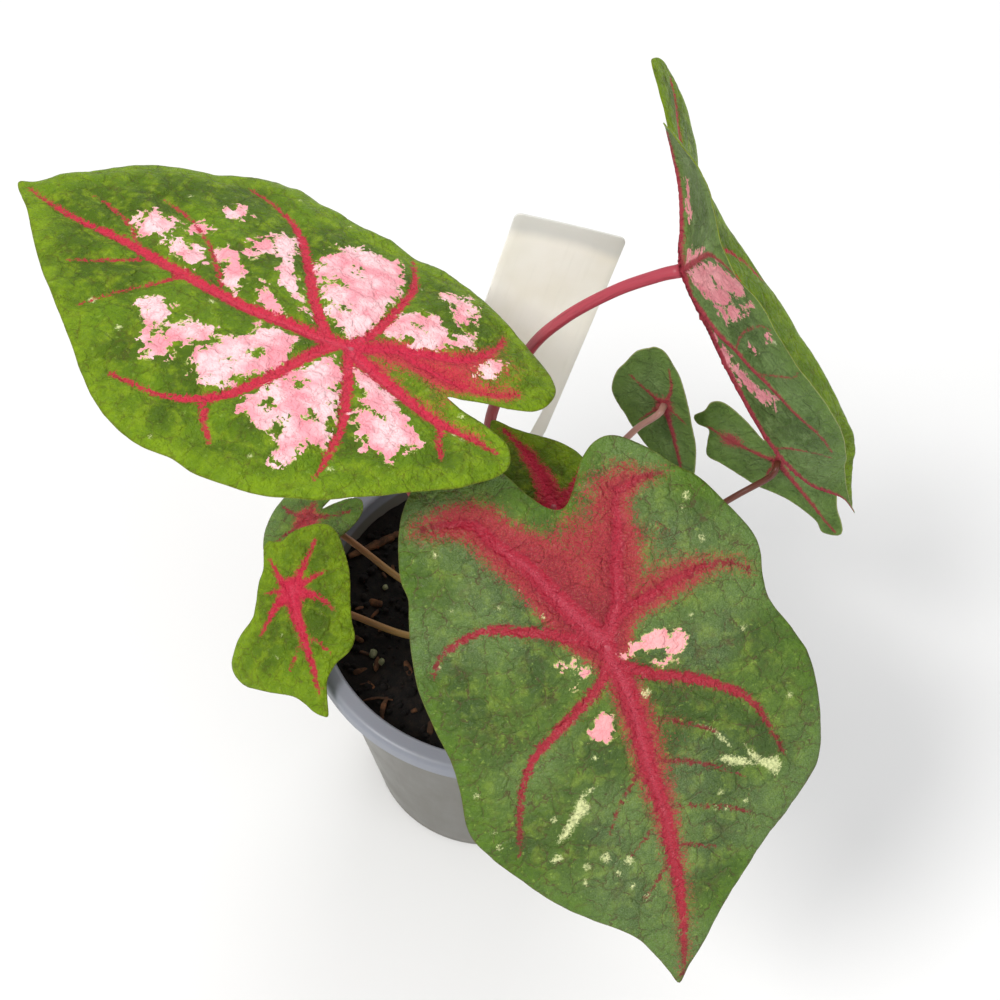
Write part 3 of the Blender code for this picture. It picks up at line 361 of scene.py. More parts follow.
def smooth_line(points, step, closed=False):
    """Catmull-Rom curve through 2-D or 3-D points, a point about every `step`."""
    p = np.array(points, float)
    n = len(p)
    spans = n if closed else n - 1
    fine = []
    for i in range(spans):
        if closed:
            p0, p1, p2, p3 = p[i - 1], p[i], p[(i + 1) % n], p[(i + 2) % n]
        else:
            p1, p2 = p[i], p[i + 1]
            p0 = p[i - 1] if i > 0 else 2 * p1 - p2
            p3 = p[i + 2] if i + 2 < n else 2 * p2 - p1
        for t in np.arange(16) / 16.0:
            fine.append(0.5 * (2 * p1 + (p2 - p0) * t + (2 * p0 - 5 * p1 + 4 * p2 - p3) * t * t
                               + (3 * p1 - p0 - 3 * p2 + p3) * t ** 3))
    fine.append(p[0] if closed else p[-1])
    fine = np.array(fine)
    length = np.concatenate([[0], np.cumsum(np.linalg.norm(np.diff(fine, axis=0), axis=1))])
    count = max(3, int(round(length[-1] / step)))
    at = np.linspace(0, length[-1], count + 1)
    if closed:
        at = at[:-1]
    return np.stack([np.interp(at, length, fine[:, k]) for k in range(p.shape[1])], axis=1)


def segment_distance(q, a, b):
    """Distance of points q to the segment ab, and the fraction along it."""
    ab = b - a
    t = np.clip(((q - a) @ ab) / max(ab @ ab, 1e-12), 0, 1)
    d = q - (a + t[:, None] * ab)
    return np.hypot(d[:, 0], d[:, 1]), t


def inside(q, poly):
    """Which points are inside the polygon."""
    x, y = q[:, 0], q[:, 1]
    hit = np.zeros(len(q), bool)
    j = len(poly) - 1
    for i in range(len(poly)):
        xi, yi = poly[i]
        xj, yj = poly[j]
        if yi != yj:
            hit ^= ((yi > y) != (yj > y)) & (x < (xj - xi) * (y - yi) / (yj - yi) + xi)
        j = i
    return hit


def polygon_depth(q, poly):
    """Distance inside a polygon; negative outside."""
    poly = np.array(poly, float)
    best = np.full(len(q), 1e9)
    for i in range(len(poly)):
        d, _ = segment_distance(q, poly[i - 1], poly[i])
        best = np.minimum(best, d)
    return np.where(inside(q, poly), best, -best)


def flat_surface(leaf):
    up = unit(np.array(leaf["up"], float))
    tip = np.array(leaf["tip"], float)
    tip = unit(tip - up * (tip @ up))
    across = np.cross(tip, up)
    a, b, c, d = leaf["sag"]
    at = np.array(leaf["at"], float)

    def point(q):
        u, v = q[:, :1], q[:, 1:2]
        trough = np.minimum(np.sqrt(u * u + 1.0) - 1.0, 14.0)
        w = -a * np.maximum(v, 0) ** 2 - b * u * u - c * np.minimum(v, 0) ** 2 + d * trough
        return at + across * u + tip * v + up * w

    return point


def folded_surface():
    rows = FOLDED_ROWS
    vs = np.array([r[0] for r in rows], float)
    tables = [np.array([r[k] for r in rows], float) for k in (1, 2, 3)]
    slopes = []
    for table in tables:
        m = np.zeros_like(table)
        m[1:-1] = (table[2:] - table[:-2]) / (vs[2:] - vs[:-2])[:, None]
        m[0] = (table[1] - table[0]) / (vs[1] - vs[0])
        m[-1] = (table[-1] - table[-2]) / (vs[-1] - vs[-2])
        slopes.append(m)

    def point(q):
        u, v = q[:, 0], q[:, 1]
        i = np.clip(np.searchsorted(vs, v, side="left") - 1, 0, len(vs) - 2)
        h = vs[i + 1] - vs[i]
        t = ((v - vs[i]) / h)[:, None]
        got = []
        for table, m in zip(tables, slopes):
            got.append(table[i] * (2 * t ** 3 - 3 * t ** 2 + 1) + m[i] * h[:, None] * (t ** 3 - 2 * t ** 2 + t)
                       + table[i + 1] * (-2 * t ** 3 + 3 * t ** 2) + m[i + 1] * h[:, None] * (t ** 3 - t ** 2))
        midrib, near, far = got[0], unit(got[1]), unit(got[2])
        opening = unit(near + far)
        wing = np.where((u > 0)[:, None], near, far)
        lift = np.sqrt(u * u + 4.0) - 2.0
        return midrib + wing * lift[:, None] + opening * ((np.abs(u) - lift) * 0.35)[:, None]

    return point


# ------------------------------------------------------------------ materials
class Nodes:
    """A short way to build a node material."""

    def __init__(self, name):
        self.material = bpy.data.materials.new(name)
        self.material.use_nodes = True
        self.tree = self.material.node_tree
        self.shader = self.tree.nodes["Principled BSDF"]

    def add(self, kind, **values):
        node = self.tree.nodes.new(kind)
        for key, value in values.items():
            if hasattr(node, key):
                setattr(node, key, value)
            else:
                raise KeyError(key)
        return node

    def put(self, socket, value):
        if isinstance(value, bpy.types.NodeSocket):
            self.tree.links.new(value, socket)
        else:
            socket.default_value = value

    def attribute(self, name, kind="Fac"):
        return self.add("ShaderNodeAttribute", attribute_name=name).outputs[kind]

    def noise(self, vector, scale, detail=2.0, rough=0.5, distort=0.0):
        node = self.add("ShaderNodeTexNoise")
        self.put(node.inputs["Vector"], vector)
        node.inputs["Scale"].default_value = scale
        node.inputs["Detail"].default_value = detail
        node.inputs["Roughness"].default_value = rough
        node.inputs["Distortion"].default_value = distort
        return node.outputs["Fac"]

    def voronoi(self, vector, scale, feature="F1", out="Distance"):
        node = self.add("ShaderNodeTexVoronoi", feature=feature)
        self.put(node.inputs["Vector"], vector)
        node.inputs["Scale"].default_value = scale
        return node.outputs[out]

    def cell(self, vector, scale):
        """A random value for each cell of a cracked pattern."""
        split = self.add("ShaderNodeSeparateColor")
        self.put(split.inputs[0], self.voronoi(vector, scale, "F1", "Color"))
        return split.outputs[0]

    def math(self, kind, a, b=None, c=None, clamp=False):
        node = self.add("ShaderNodeMath", operation=kind, use_clamp=clamp)
        for socket, value in zip(node.inputs, (a, b, c)):
            if value is not None:
                self.put(socket, value)
        return node.outputs[0]

    def ramp(self, value, low, high, out_low=0.0, out_high=1.0, smooth=True):
        node = self.add("ShaderNodeMapRange", interpolation_type="SMOOTHSTEP" if smooth else "LINEAR")
        self.put(node.inputs["Value"], value)
        node.inputs["From Min"].default_value = low
        node.inputs["From Max"].default_value = high
        node.inputs["To Min"].default_value = out_low
        node.inputs["To Max"].default_value = out_high
        return node.outputs["Result"]

    def mix(self, factor, a, b, blend="MIX"):
        node = self.add("ShaderNodeMix", data_type="RGBA", blend_type=blend)
        self.put(node.inputs[0], factor)
        self.put(node.inputs[6], a)
        self.put(node.inputs[7], b)
        return node.outputs[2]

    def bump(self, height, strength, distance, normal=None):
        node = self.add("ShaderNodeBump")
        node.inputs["Strength"].default_value = strength
        node.inputs["Distance"].default_value = distance
        self.put(node.inputs["Height"], height)
        if normal is not None:
            self.put(node.inputs["Normal"], normal)
        return node.outputs["Normal"]

    def object_coords(self):
        return self.add("ShaderNodeTexCoord").outputs["Object"]


def blade_material(name, look, under):
    """Upper or under side of a blade. Vein, patch and margin maps come from the mesh."""
    m = Nodes(name)
    at = m.attribute("leaf_uv", "Vector")
    vein, haze = m.attribute("vein"), m.attribute("haze")
    patch, pale, edge = m.attribute("patch"), m.attribute("pale"), m.attribute("edge")
    net, girth = m.attribute("net"), m.attribute("girth")
    coarse = m.noise(at, 0.055, 2.0, 0.5)
    medium = m.noise(at, 0.24, 3.0, 0.6)
    fine = m.noise(at, 1.1, 3.0, 0.6)
    grain = m.noise(at, 3.0, 2.0, 0.6)
    swirl = m.add("ShaderNodeTexNoise")
    m.put(swirl.inputs["Vector"], at)
    swirl.inputs["Scale"].default_value = 0.45
    swirl.inputs["Detail"].default_value = 3.0
    offset = m.add("ShaderNodeVectorMath", operation="SCALE")
    m.put(offset.inputs[0], swirl.outputs["Color"])
    offset.inputs["Scale"].default_value = 3.4
    warped = m.add("ShaderNodeVectorMath", operation="ADD")
    m.put(warped.inputs[0], at)
    m.put(warped.inputs[1], offset.outputs[0])
    warped = warped.outputs[0]
    big_cells = m.voronoi(warped, 0.17, "DISTANCE_TO_EDGE")
    cells = m.voronoi(warped, 0.5, "DISTANCE_TO_EDGE")
    small_cells = m.voronoi(warped, 1.4, "DISTANCE_TO_EDGE")

    if under:
        if look == "dusty":
            dark, mid, light, margin = lin(72, 92, 54), lin(98, 120, 76), lin(120, 142, 94), lin(94, 118, 60)
        else:
            dark, mid, light, margin = lin(78, 102, 52), lin(104, 130, 74), lin(126, 152, 94), lin(104, 134, 62)
        red, deep, core = lin(170, 60, 76), lin(136, 52, 62), lin(186, 88, 98)
        pink_a, pink_b = lin(240, 166, 172), lin(226, 140, 150)
        halo, pale_colour, line_colour = lin(150, 96, 78), lin(206, 214, 170), lin(84, 84, 52)
    elif look == "dusty":
        dark, mid, light, margin = lin(60, 84, 28), lin(86, 114, 38), lin(124, 148, 48), lin(80, 114, 20)
        red, deep, core = lin(172, 34, 56), lin(118, 24, 38), lin(200, 78, 98)
        pink_a, pink_b = lin(255, 182, 182), lin(250, 160, 166)
        halo, pale_colour, line_colour = lin(158, 82, 66), lin(228, 232, 168), lin(76, 56, 32)
    else:
        dark, mid, light, margin = lin(72, 98, 12), lin(98, 130, 14), lin(138, 164, 22), lin(122, 152, 16)
        red, deep, core = lin(204, 40, 72), lin(150, 26, 46), lin(220, 84, 108)
        pink_a, pink_b = lin(255, 214, 218), lin(248, 160, 172)
        halo, pale_colour, line_colour = lin(150, 68, 42), lin(228, 232, 170), lin(74, 62, 20)

    small_vein = lin(150, 62, 62) if under else (lin(112, 42, 34) if look == "dusty" else lin(176, 44, 56))

    # Green ground: patches of darker and lighter tissue, and the net of veinlets.
    green = m.mix(m.ramp(coarse, 0.38, 0.62), dark, mid)
    green = m.mix(m.math("MULTIPLY", m.ramp(medium, 0.45, 0.70), 0.65), green, light)
    green = m.mix(m.ramp(fine, 0.42, 0.75, 0.0, 0.42), green, dark)
    green = m.mix(m.math("MULTIPLY", m.ramp(edge, 0.5, 8.5, 0.9, 0.0), m.ramp(medium, 0.3, 0.62, 0.35, 1.0)), green, margin)
    blotch = m.ramp(m.noise(at, 0.6, 3.0, 0.65), 0.60, 0.72)
    green = m.mix(m.math("MULTIPLY", blotch, 0.55 if look == "dusty" else 0.4), green,
                  lin(150, 176, 74) if not under else light)
    if look == "dusty" and not under:
        # A greyish cast over broad patches of the dusty blade: partly its waxy bloom, partly a painted sheen.
        bloom_and_sheen = m.math("MULTIPLY", m.ramp(m.noise(at, 0.035, 1.0), 0.42, 0.62), m.ramp(grain, 0.35, 0.7, 0.1, 0.5))
        green = m.mix(bloom_and_sheen, green, lin(126, 146, 104))
    thin = m.ramp(cells, 0.0, 0.055, 1.0, 0.0)
    thick = m.ramp(big_cells, 0.0, 0.035, 1.0, 0.0)
    broken = m.ramp(m.noise(at, 0.35, 2.0), 0.38, 0.58, 0.15, 1.0)
    strength = 0.8 if look == "dusty" else 0.5
    if under:
        strength = 0.3
    green = m.mix(m.math("MULTIPLY", m.math("MULTIPLY", thick, strength), broken), green, line_colour)
    green = m.mix(m.math("MULTIPLY", thin, strength * 0.45), green, dark if not under else light)
    green = m.mix(m.math("MULTIPLY", net, 0.35), green, line_colour if not under else light)
    speck = m.ramp(m.noise(at, 2.2, 1.0), 0.68, 0.76, 0.0, 0.5)
    green = m.mix(speck, green, light)

    # Red haze: hair-like stipple that thickens towards the main veins.
    hair = m.math("ADD", m.math("MULTIPLY", m.noise(at, 0.9, 6.0, 0.82, 1.8), 1.25), -0.125)
    stipple_mask = m.ramp(m.math("ADD", hair, m.math("MULTIPLY", haze, 0.52)), 0.70, 0.84)
    wash = m.math("MULTIPLY", m.ramp(haze, 0.2, 1.2, 0.0, 0.62), m.ramp(medium, 0.25, 0.7, 0.65, 1.0))
    colour = m.mix(wash, green, halo)
    colour = m.mix(m.math("MULTIPLY", stipple_mask, m.ramp(haze, 0.02, 0.35, 0.0, 0.88)), colour, red)
    fibres = m.ramp(m.math("ADD", m.noise(at, 2.3, 4.0, 0.75, 0.8), m.math("MULTIPLY", haze, 0.22)), 0.66, 0.76)
    colour = m.mix(m.math("MULTIPLY", fibres, m.ramp(haze, 0.25, 0.9, 0.0, 0.6)), colour, deep)
    dust_dots = m.math("MULTIPLY", m.ramp(m.noise(at, 4.0, 1.0), 0.62, 0.72), m.ramp(haze, 0.1, 0.4, 0.0, 0.35))
    colour = m.mix(dust_dots, colour, light)

    # Pale specks and streaks, broken up.
    pale_edge = m.math("ADD", pale, m.math("MULTIPLY", m.math("SUBTRACT", m.noise(at, 1.7, 4.0, 0.75, 0.6), 0.5), 4.2))
    pale_mask = m.math("MULTIPLY", m.ramp(pale_edge, -0.1, 0.9), m.ramp(fine, 0.3, 0.6, 0.45, 0.95))
    colour = m.mix(pale_mask, colour, pale_colour)

    # Pink patches: hard ragged edges with a pale rim, and a faint mottling inside.
    torn = 0.5 if look == "dusty" and not under else 1.0
    ragged = m.math("ADD", patch, m.math("MULTIPLY", m.math("SUBTRACT", m.noise(at, 0.30, 3.0, 0.6), 0.5), 4.6 * torn))
    ragged = m.math("ADD", ragged, m.math("MULTIPLY", m.math("SUBTRACT", m.cell(warped, 0.52), 0.5), 2.6 * torn))
    ragged = m.math("ADD", ragged, m.math("MULTIPLY", m.math("SUBTRACT", m.cell(warped, 1.15), 0.5), 1.3 * torn))
    ragged = m.math("ADD", ragged, m.math("MULTIPLY", m.math("SUBTRACT", fine, 0.5), 0.8))
    rim_mask = m.ramp(ragged, -0.34, -0.06)
    pink_mask = m.ramp(ragged, -0.02, 0.12)
    colour = m.mix(m.math("MULTIPLY", rim_mask, 0.75), colour, lin(206, 204, 130) if not under else lin(196, 186, 140))
    pink = m.mix(m.ramp(m.noise(at, 0.13, 3.0, 0.5), 0.38, 0.62), pink_a, pink_b)
    pink = m.mix(m.ramp(m.noise(at, 0.9, 3.0, 0.6), 0.45, 0.75, 0.0, 0.45), pink, pink_b)
    pink = m.mix(m.ramp(ragged, 0.0, 0.8, 0.35, 0.0), pink, pink_b)
    pink = m.mix(m.math("MULTIPLY", thick, 0.28), pink, red)
    colour = m.mix(pink_mask, colour, pink)

    # Veins: ragged, hairy sides, deeper at the edges and lighter along the middle.
    jag = m.noise(at, 0.62, 6.0, 0.76, 1.2)
    feather = m.math("ADD", vein, m.math("MULTIPLY", m.math("SUBTRACT", jag, 0.5), 2.0 if under else 5.4))
    vein_mask = m.math("MULTIPLY", m.ramp(feather, -0.35, 0.25), m.ramp(vein, -2.1, -0.9))
    vein_colour = m.mix(m.ramp(vein, -0.7, 0.6, 0.25, 1.0), deep, red)
    vein_colour = m.mix(m.ramp(m.noise(at, 1.9, 4.0, 0.7), 0.42, 0.72, 0.0, 0.65), vein_colour, deep)
    vein_colour = m.mix(m.math("MULTIPLY", m.ramp(vein, 0.9, 1.9), m.ramp(grain, 0.4, 0.7, 0.15, 0.6)), vein_colour, core)
    vein_colour = m.mix(m.ramp(girth, 0.35, 1.0, 0.75, 0.0), vein_colour, small_vein)
    colour = m.mix(m.math("MULTIPLY", vein_mask, 0.96), colour, vein_colour)

    # The margin itself is a thin line.
    colour = m.mix(m.ramp(edge, 0.08, 0.36, 0.5 if under else 0.3, 0.0), colour,
                   lin(196, 190, 136) if under else lin(116, 104, 44))

    m.put(m.shader.inputs["Base Color"], colour)
    rough_low, rough_high = (0.50, 0.66) if under else ((0.36, 0.56) if look == "dusty" else (0.38, 0.56))
    m.put(m.shader.inputs["Roughness"], m.ramp(m.math("ADD", fine, m.math("MULTIPLY", vein_mask, -0.15)), 0.3, 0.7,
                                               rough_low, rough_high))
    m.shader.inputs["Specular IOR Level"].default_value = 0.14 if under else (0.30 if look == "dusty" else 0.16)
    height = m.math("ADD", m.math("MULTIPLY", m.ramp(cells, 0.0, 0.30), 0.7), m.math("MULTIPLY", m.ramp(small_cells, 0.0, 0.3), 0.25))
    height = m.math("ADD", height, m.math("MULTIPLY", m.ramp(big_cells, 0.0, 0.14), 1.2))
    height = m.math("ADD", height, m.math("MULTIPLY", fine, 0.5))
    if under:
        height = m.math("MULTIPLY", height, -1.0)
    m.put(m.shader.inputs["Normal"], m.bump(height, 0.75, 0.00034, m.bump(grain, 0.4, 0.00007)))
    return m.material


def petiole_material(name, base, low, high, streak):
    m = Nodes(name)
    along = m.attribute("along")
    at = m.attribute("stalk_uv", "Vector")
    streaks = m.noise(at, 1.0, 4.0, 0.6)
    fine = m.noise(at, 6.0, 3.0, 0.6)
    colour = m.mix(m.ramp(m.math("ADD", along, m.math("MULTIPLY", m.math("SUBTRACT", streaks, 0.5), 0.3)), 0.02, 0.22), base, low)
    colour = m.mix(m.ramp(along, 0.25, 0.95), colour, high)
    colour = m.mix(m.ramp(streaks, 0.5, 0.78, 0.0, 0.6), colour, streak)
    colour = m.mix(m.ramp(fine, 0.55, 0.8, 0.0, 0.25), colour, low)
    m.put(m.shader.inputs["Base Color"], colour)
    m.put(m.shader.inputs["Roughness"], m.ramp(fine, 0.3, 0.7, 0.30, 0.46))
    m.shader.inputs["Specular IOR Level"].default_value = 0.45
    m.put(m.shader.inputs["Normal"], m.bump(m.math("ADD", streaks, m.math("MULTIPLY", fine, 0.4)), 0.3, 0.0002))
    return m.material


def pot_material():
    m = Nodes("pot_grey_plastic")
    at = m.object_coords()
    cloud = m.noise(at, 38.0, 3.0, 0.55)
    pebble = m.noise(at, 1500.0, 2.0, 0.5)
    stretched = m.add("ShaderNodeMapping")
    stretched.inputs["Scale"].default_value = (1.0, 1.0, 0.16)
    m.put(stretched.inputs["Vector"], at)
    scuff = m.noise(stretched.outputs["Vector"], 240.0, 4.0, 0.7)
    height = m.add("ShaderNodeSeparateXYZ")
    m.put(height.inputs[0], at)
    # The lip is a cooler grey than the body, and is lightened further as a painted highlight along the rim.
    lip_grey_and_highlight = m.ramp(height.outputs["Z"], 0.0830, 0.0842)
    colour = m.mix(m.ramp(cloud, 0.35, 0.65), lin(98, 96, 89), lin(106, 104, 97))
    colour = m.mix(lip_grey_and_highlight, colour, lin(134, 138, 148))
    colour = m.mix(m.ramp(scuff, 0.60, 0.78, 0.0, 0.22), colour, lin(122, 121, 115))
    dust = m.ramp(height.outputs["Z"], 0.0, 0.022, 0.28, 0.0)
    colour = m.mix(m.math("MULTIPLY", dust, m.ramp(m.noise(at, 90.0, 4.0, 0.7), 0.4, 0.7)), colour, lin(120, 108, 90))
    m.put(m.shader.inputs["Base Color"], colour)
    m.put(m.shader.inputs["Roughness"], m.ramp(m.math("ADD", cloud, m.math("MULTIPLY", scuff, 0.3)), 0.4, 0.9, 0.34, 0.52))
    m.shader.inputs["Specular IOR Level"].default_value = 0.45
    m.put(m.shader.inputs["Normal"], m.bump(pebble, 0.12, 0.00006, m.bump(scuff, 0.10, 0.0001)))
    return m.material


def soil_material(name, dark, light, scale, rough=0.95):
    m = Nodes(name)
    at = m.object_coords()
    big, small = m.noise(at, scale, 4.0, 0.65), m.noise(at, scale * 6, 3.0, 0.6)
    colour = m.mix(m.ramp(big, 0.4, 0.72), dark, light)
    colour = m.mix(m.ramp(small, 0.55, 0.75, 0.0, 0.5), colour, dark)
    m.put(m.shader.inputs["Base Color"], colour)
    m.shader.inputs["Roughness"].default_value = rough
    m.shader.inputs["Specular IOR Level"].default_value = 0.25
    m.put(m.shader.inputs["Normal"], m.bump(m.math("ADD", big, small), 0.8, 0.0004))
    return m.material


def label_material():
    m = Nodes("label_cream_plastic")
    at = m.object_coords()
    cloud = m.noise(at, 55.0, 3.0, 0.5)
    fine = m.noise(at, 900.0, 2.0, 0.5)
    brush = m.add("ShaderNodeMapping")
    brush.inputs["Scale"].default_value = (1.0, 0.08, 1.0)
    m.put(brush.inputs["Vector"], at)
    drawn = m.noise(brush.outputs["Vector"], 700.0, 3.0, 0.6)
    xyz = m.add("ShaderNodeSeparateXYZ")
    m.put(xyz.inputs[0], at)
    colour = m.mix(m.ramp(cloud, 0.35, 0.68), lin(240, 236, 222), lin(232, 227, 210))
    colour = m.mix(m.ramp(drawn, 0.5, 0.8, 0.0, 0.25), colour, lin(220, 216, 200))
    frost = m.ramp(m.math("ADD", xyz.outputs["Y"], m.math("MULTIPLY", cloud, 0.004)), 0.1015, 0.1055)
    colour = m.mix(m.math("MULTIPLY", frost, 0.85), colour, lin(196, 197, 192))
    soiled = m.ramp(m.math("ADD", xyz.outputs["Y"], m.math("MULTIPLY", m.noise(at, 160.0, 4.0, 0.7), 0.014)), 0.004, 0.022, 0.75, 0.0)
    colour = m.mix(soiled, colour, lin(92, 74, 52))
    m.put(m.shader.inputs["Base Color"], colour)
    m.put(m.shader.inputs["Roughness"], m.ramp(m.math("ADD", drawn, m.math("MULTIPLY", frost, 0.3)), 0.3, 0.9, 0.32, 0.5))
    m.shader.inputs["Specular IOR Level"].default_value = 0.4
    m.shader.inputs["Subsurface Weight"].default_value = 0.6
    m.shader.inputs["Subsurface Radius"].default_value = (1.0, 1.0, 0.95)
    m.shader.inputs["Subsurface Scale"].default_value = 0.0022
    m.put(m.shader.inputs["Normal"], m.bump(fine, 0.15, 0.00004, m.bump(drawn, 0.12, 0.00008)))
    return m.material


def tuber_material():
    m = Nodes("tuber_skin_bark")
    at = m.object_coords()
    big, small = m.noise(at, 180.0, 4.0, 0.65), m.noise(at, 900.0, 3.0, 0.6)
    colour = m.mix(m.ramp(big, 0.38, 0.66), lin(64, 42, 26), lin(124, 88, 56))
    colour = m.mix(m.ramp(small, 0.55, 0.75, 0.0, 0.6), colour, lin(40, 26, 18))
    m.put(m.shader.inputs["Base Color"], colour)
    m.shader.inputs["Roughness"].default_value = 0.85
    m.put(m.shader.inputs["Normal"], m.bump(m.math("ADD", big, small), 0.8, 0.0006))
    return m.material


# ------------------------------------------------------------------ meshes
def make_object(name, verts, faces, materials, face_material=None, attributes=None, vectors=None):
    mesh = bpy.data.meshes.new(name)
    mesh.from_pydata([tuple(v) for v in verts], [], [tuple(int(i) for i in f) for f in faces])
    for material in materials:
        mesh.materials.append(material)
    if face_material is not None:
        mesh.polygons.foreach_set("material_index", np.asarray(face_material, dtype=np.int32))
    for key, values in (attributes or {}).items():
        layer = mesh.attributes.new(key, "FLOAT", "POINT")
        layer.data.foreach_set("value", np.asarray(values, dtype=np.float32))
    for key, values in (vectors or {}).items():
        layer = mesh.attributes.new(key, "FLOAT_VECTOR", "POINT")
        layer.data.foreach_set("vector", np.asarray(values, dtype=np.float32).ravel())
    mesh.shade_smooth()
    mesh.update()
    obj = bpy.data.objects.new(name, mesh)
    bpy.context.scene.collection.objects.link(obj)
    return obj


def build_blade(name, leaf, top_material, under_material):
    spacing = SPACING if name in ("leaf_left", "leaf_front", "leaf_right") else SMALL_SPACING
    big = spacing == SPACING
    rng = np.random.default_rng(leaf["seed"])
    edge = smooth_line(leaf["outline"], spacing * 0.9, True)
    # A slightly uneven margin, as a real leaf has.
    s = np.arange(len(edge)) * spacing * 0.9
    centre = edge.mean(axis=0)
    outward = unit(edge - centre)
    edge = edge + outward * ((fbm(s / 9.0, s * 0 + 0.5, leaf["seed"]) - 0.5) * 0.5)[:, None]
    low, high = edge.min(axis=0), edge.max(axis=0)
    row = spacing * math.sqrt(3) / 2
    ys = np.arange(low[1], high[1], row)
    pts = []
    for k, y in enumerate(ys):
        xs = np.arange(low[0] + (spacing / 2 if k % 2 else 0), high[0], spacing)
        pts.append(np.stack([xs, np.full_like(xs, y)], axis=1))
    q = np.concatenate(pts)
    q = q + rng.uniform(-0.12, 0.12, q.shape) * spacing
    q = q[inside(q, edge)]
    margin = np.full(len(q), 1e9)
    for i in range(len(edge)):
        near = (np.abs(q[:, 0] - edge[i, 0]) < 9) & (np.abs(q[:, 1] - edge[i, 1]) < 9)
        if near.any():
            d, _ = segment_distance(q[near], edge[i - 1], edge[i])
            margin[near] = np.minimum(margin[near], d)
    keep = margin > spacing * 0.55
    q, margin = q[keep], margin[keep]
    n_edge = len(edge)
    all_q = np.concatenate([edge, q])
    margin = np.minimum(np.concatenate([np.zeros(n_edge), margin]), 9.0)
    result = geometry.delaunay_2d_cdt([Vector((float(a), float(b))) for a, b in all_q], [],
                                      [list(range(n_edge))], 1, 1e-6)
    out_v, out_f, origin = result[0], result[2], result[3]
    flat = np.array([(v.x, v.y) for v in out_v])
    source = np.array([o[0] if len(o) else 0 for o in origin])
    margin = margin[source]
    loop = {int(s): i for i, s in reversed(list(enumerate(source))) if s < n_edge}
    loop = [loop[i] for i in range(n_edge) if i in loop]

    # Distance to veins: `vein` is positive inside one; `reach` is the haze they carry.
    vein = np.full(len(flat), -9.0)
    girth = np.zeros(len(flat))
    nearest = np.full(len(flat), 99.0)
    ridge = np.zeros(len(flat))
    haze = np.zeros(len(flat))
    for w0, w1, carry, points in leaf["veins"]:
        line = smooth_line(points, 1.2)
        total = len(line) - 1
        for i in range(total):
            d, t = segment_distance(flat, line[i], line[i + 1])
            f = (i + t) / total
            half = w0 + (w1 - w0) * f ** (1.9 if big else 0.9)
            girth = np.where(half - d > vein, half, girth)
            vein = np.maximum(vein, half - d)
            nearest = np.minimum(nearest, d)
            ridge = np.maximum(ridge, np.minimum(half / 1.1, 1.0) * np.exp(-(d / (0.75 + 0.3 * half)) ** 2))
            away = np.maximum(d - 0.8 * half, 0.0)
            reach, strength = (1.7, 0.80) if name == "leaf_front" else (1.0, 0.62)
            haze = np.maximum(haze, carry * strength * np.exp(-(away / (0.7 + 1.5 * carry) / reach) ** 2) * (1 - 0.5 * f))
    for u, v, radius, amount in leaf["haze"]:
        d2 = (flat[:, 0] - u) ** 2 + (flat[:, 1] - v) ** 2
        haze = haze + amount * np.exp(-d2 / (radius * radius)) * (1 - 0.45 * np.minimum(haze, 1))
    haze = np.minimum(haze, 1.4)

    patch = np.full(len(flat), -9.0)
    for poly in leaf["patches"]:
        patch = np.maximum(patch, polygon_depth(flat, poly))
    for u, v, radius in leaf["spots"]:
        patch = np.maximum(patch, radius - np.hypot(flat[:, 0] - u, flat[:, 1] - v))
    for u, v, radius in leaf["holes"]:
        patch = np.minimum(patch, np.hypot(flat[:, 0] - u, flat[:, 1] - v) - radius)
    patch = patch + {"leaf_left": 0.45, "leaf_front": -0.45}.get(name, 0.0)
    pale = np.full(len(flat), -9.0)
    for poly in leaf["pale_patches"]:
        pale = np.maximum(pale, polygon_depth(flat, poly) - 0.1)
    for u, v, radius in leaf["pale"]:
        pale = np.maximum(pale, radius - np.hypot(flat[:, 0] - u, flat[:, 1] - v))
    pale = np.maximum(pale, -3.0)
    patch = np.maximum(patch, -6.0)

    # Relief: tissue puckers up between the veins, which lie in grooves above.
    point = folded_surface() if name == "leaf_right" else flat_surface(leaf)
    base = point(flat)
    du = point(flat + np.array([0.25, 0.0])) - point(flat - np.array([0.25, 0.0]))
    dv = point(flat + np.array([0.0, 0.25])) - point(flat - np.array([0.0, 0.25]))
    normal = unit(np.cross(du, dv))
    scale = 5.2 if big else 3.4
    bulge = fbm(flat[:, 0] / scale, flat[:, 1] / scale, leaf["seed"], 2)
    ribs = np.abs(fbm(flat[:, 0] / 4.2 + 31, flat[:, 1] / 4.2, leaf["seed"] + 5, 2) - 0.5)
    net = np.clip(1 - ribs / 0.035, 0, 1) * np.clip((nearest - 1.0) / 3, 0, 1)
    lift = leaf["pucker"] * (1 - np.exp(-(nearest / 3.2) ** 2)) * (0.35 + 0.9 * bulge)
    lift = lift - 0.10 * net
    lift = lift - 0.42 * ridge
    wave = (fbm(flat[:, 0] / 13.0, flat[:, 1] / 13.0, leaf["seed"] + 9, 2) - 0.5) * (1.1 if big else 0.5)
    lift = lift + wave * np.exp(-margin / 7.0) - 0.35 * np.exp(-margin / 2.2)
    half = np.where(margin > 0, 0.11 + 0.16 * (1 - np.exp(-margin / 1.2)), 0.10)
    top = base + normal * (lift + half)[:, None]
    keel = np.exp(-(flat[:, 0] / 1.1) ** 2) * (flat[:, 1] > -2) * 0.7 if name == "leaf_right" else 0.0
    under = base + normal * (lift - half - 0.55 * ridge - keel)[:, None]

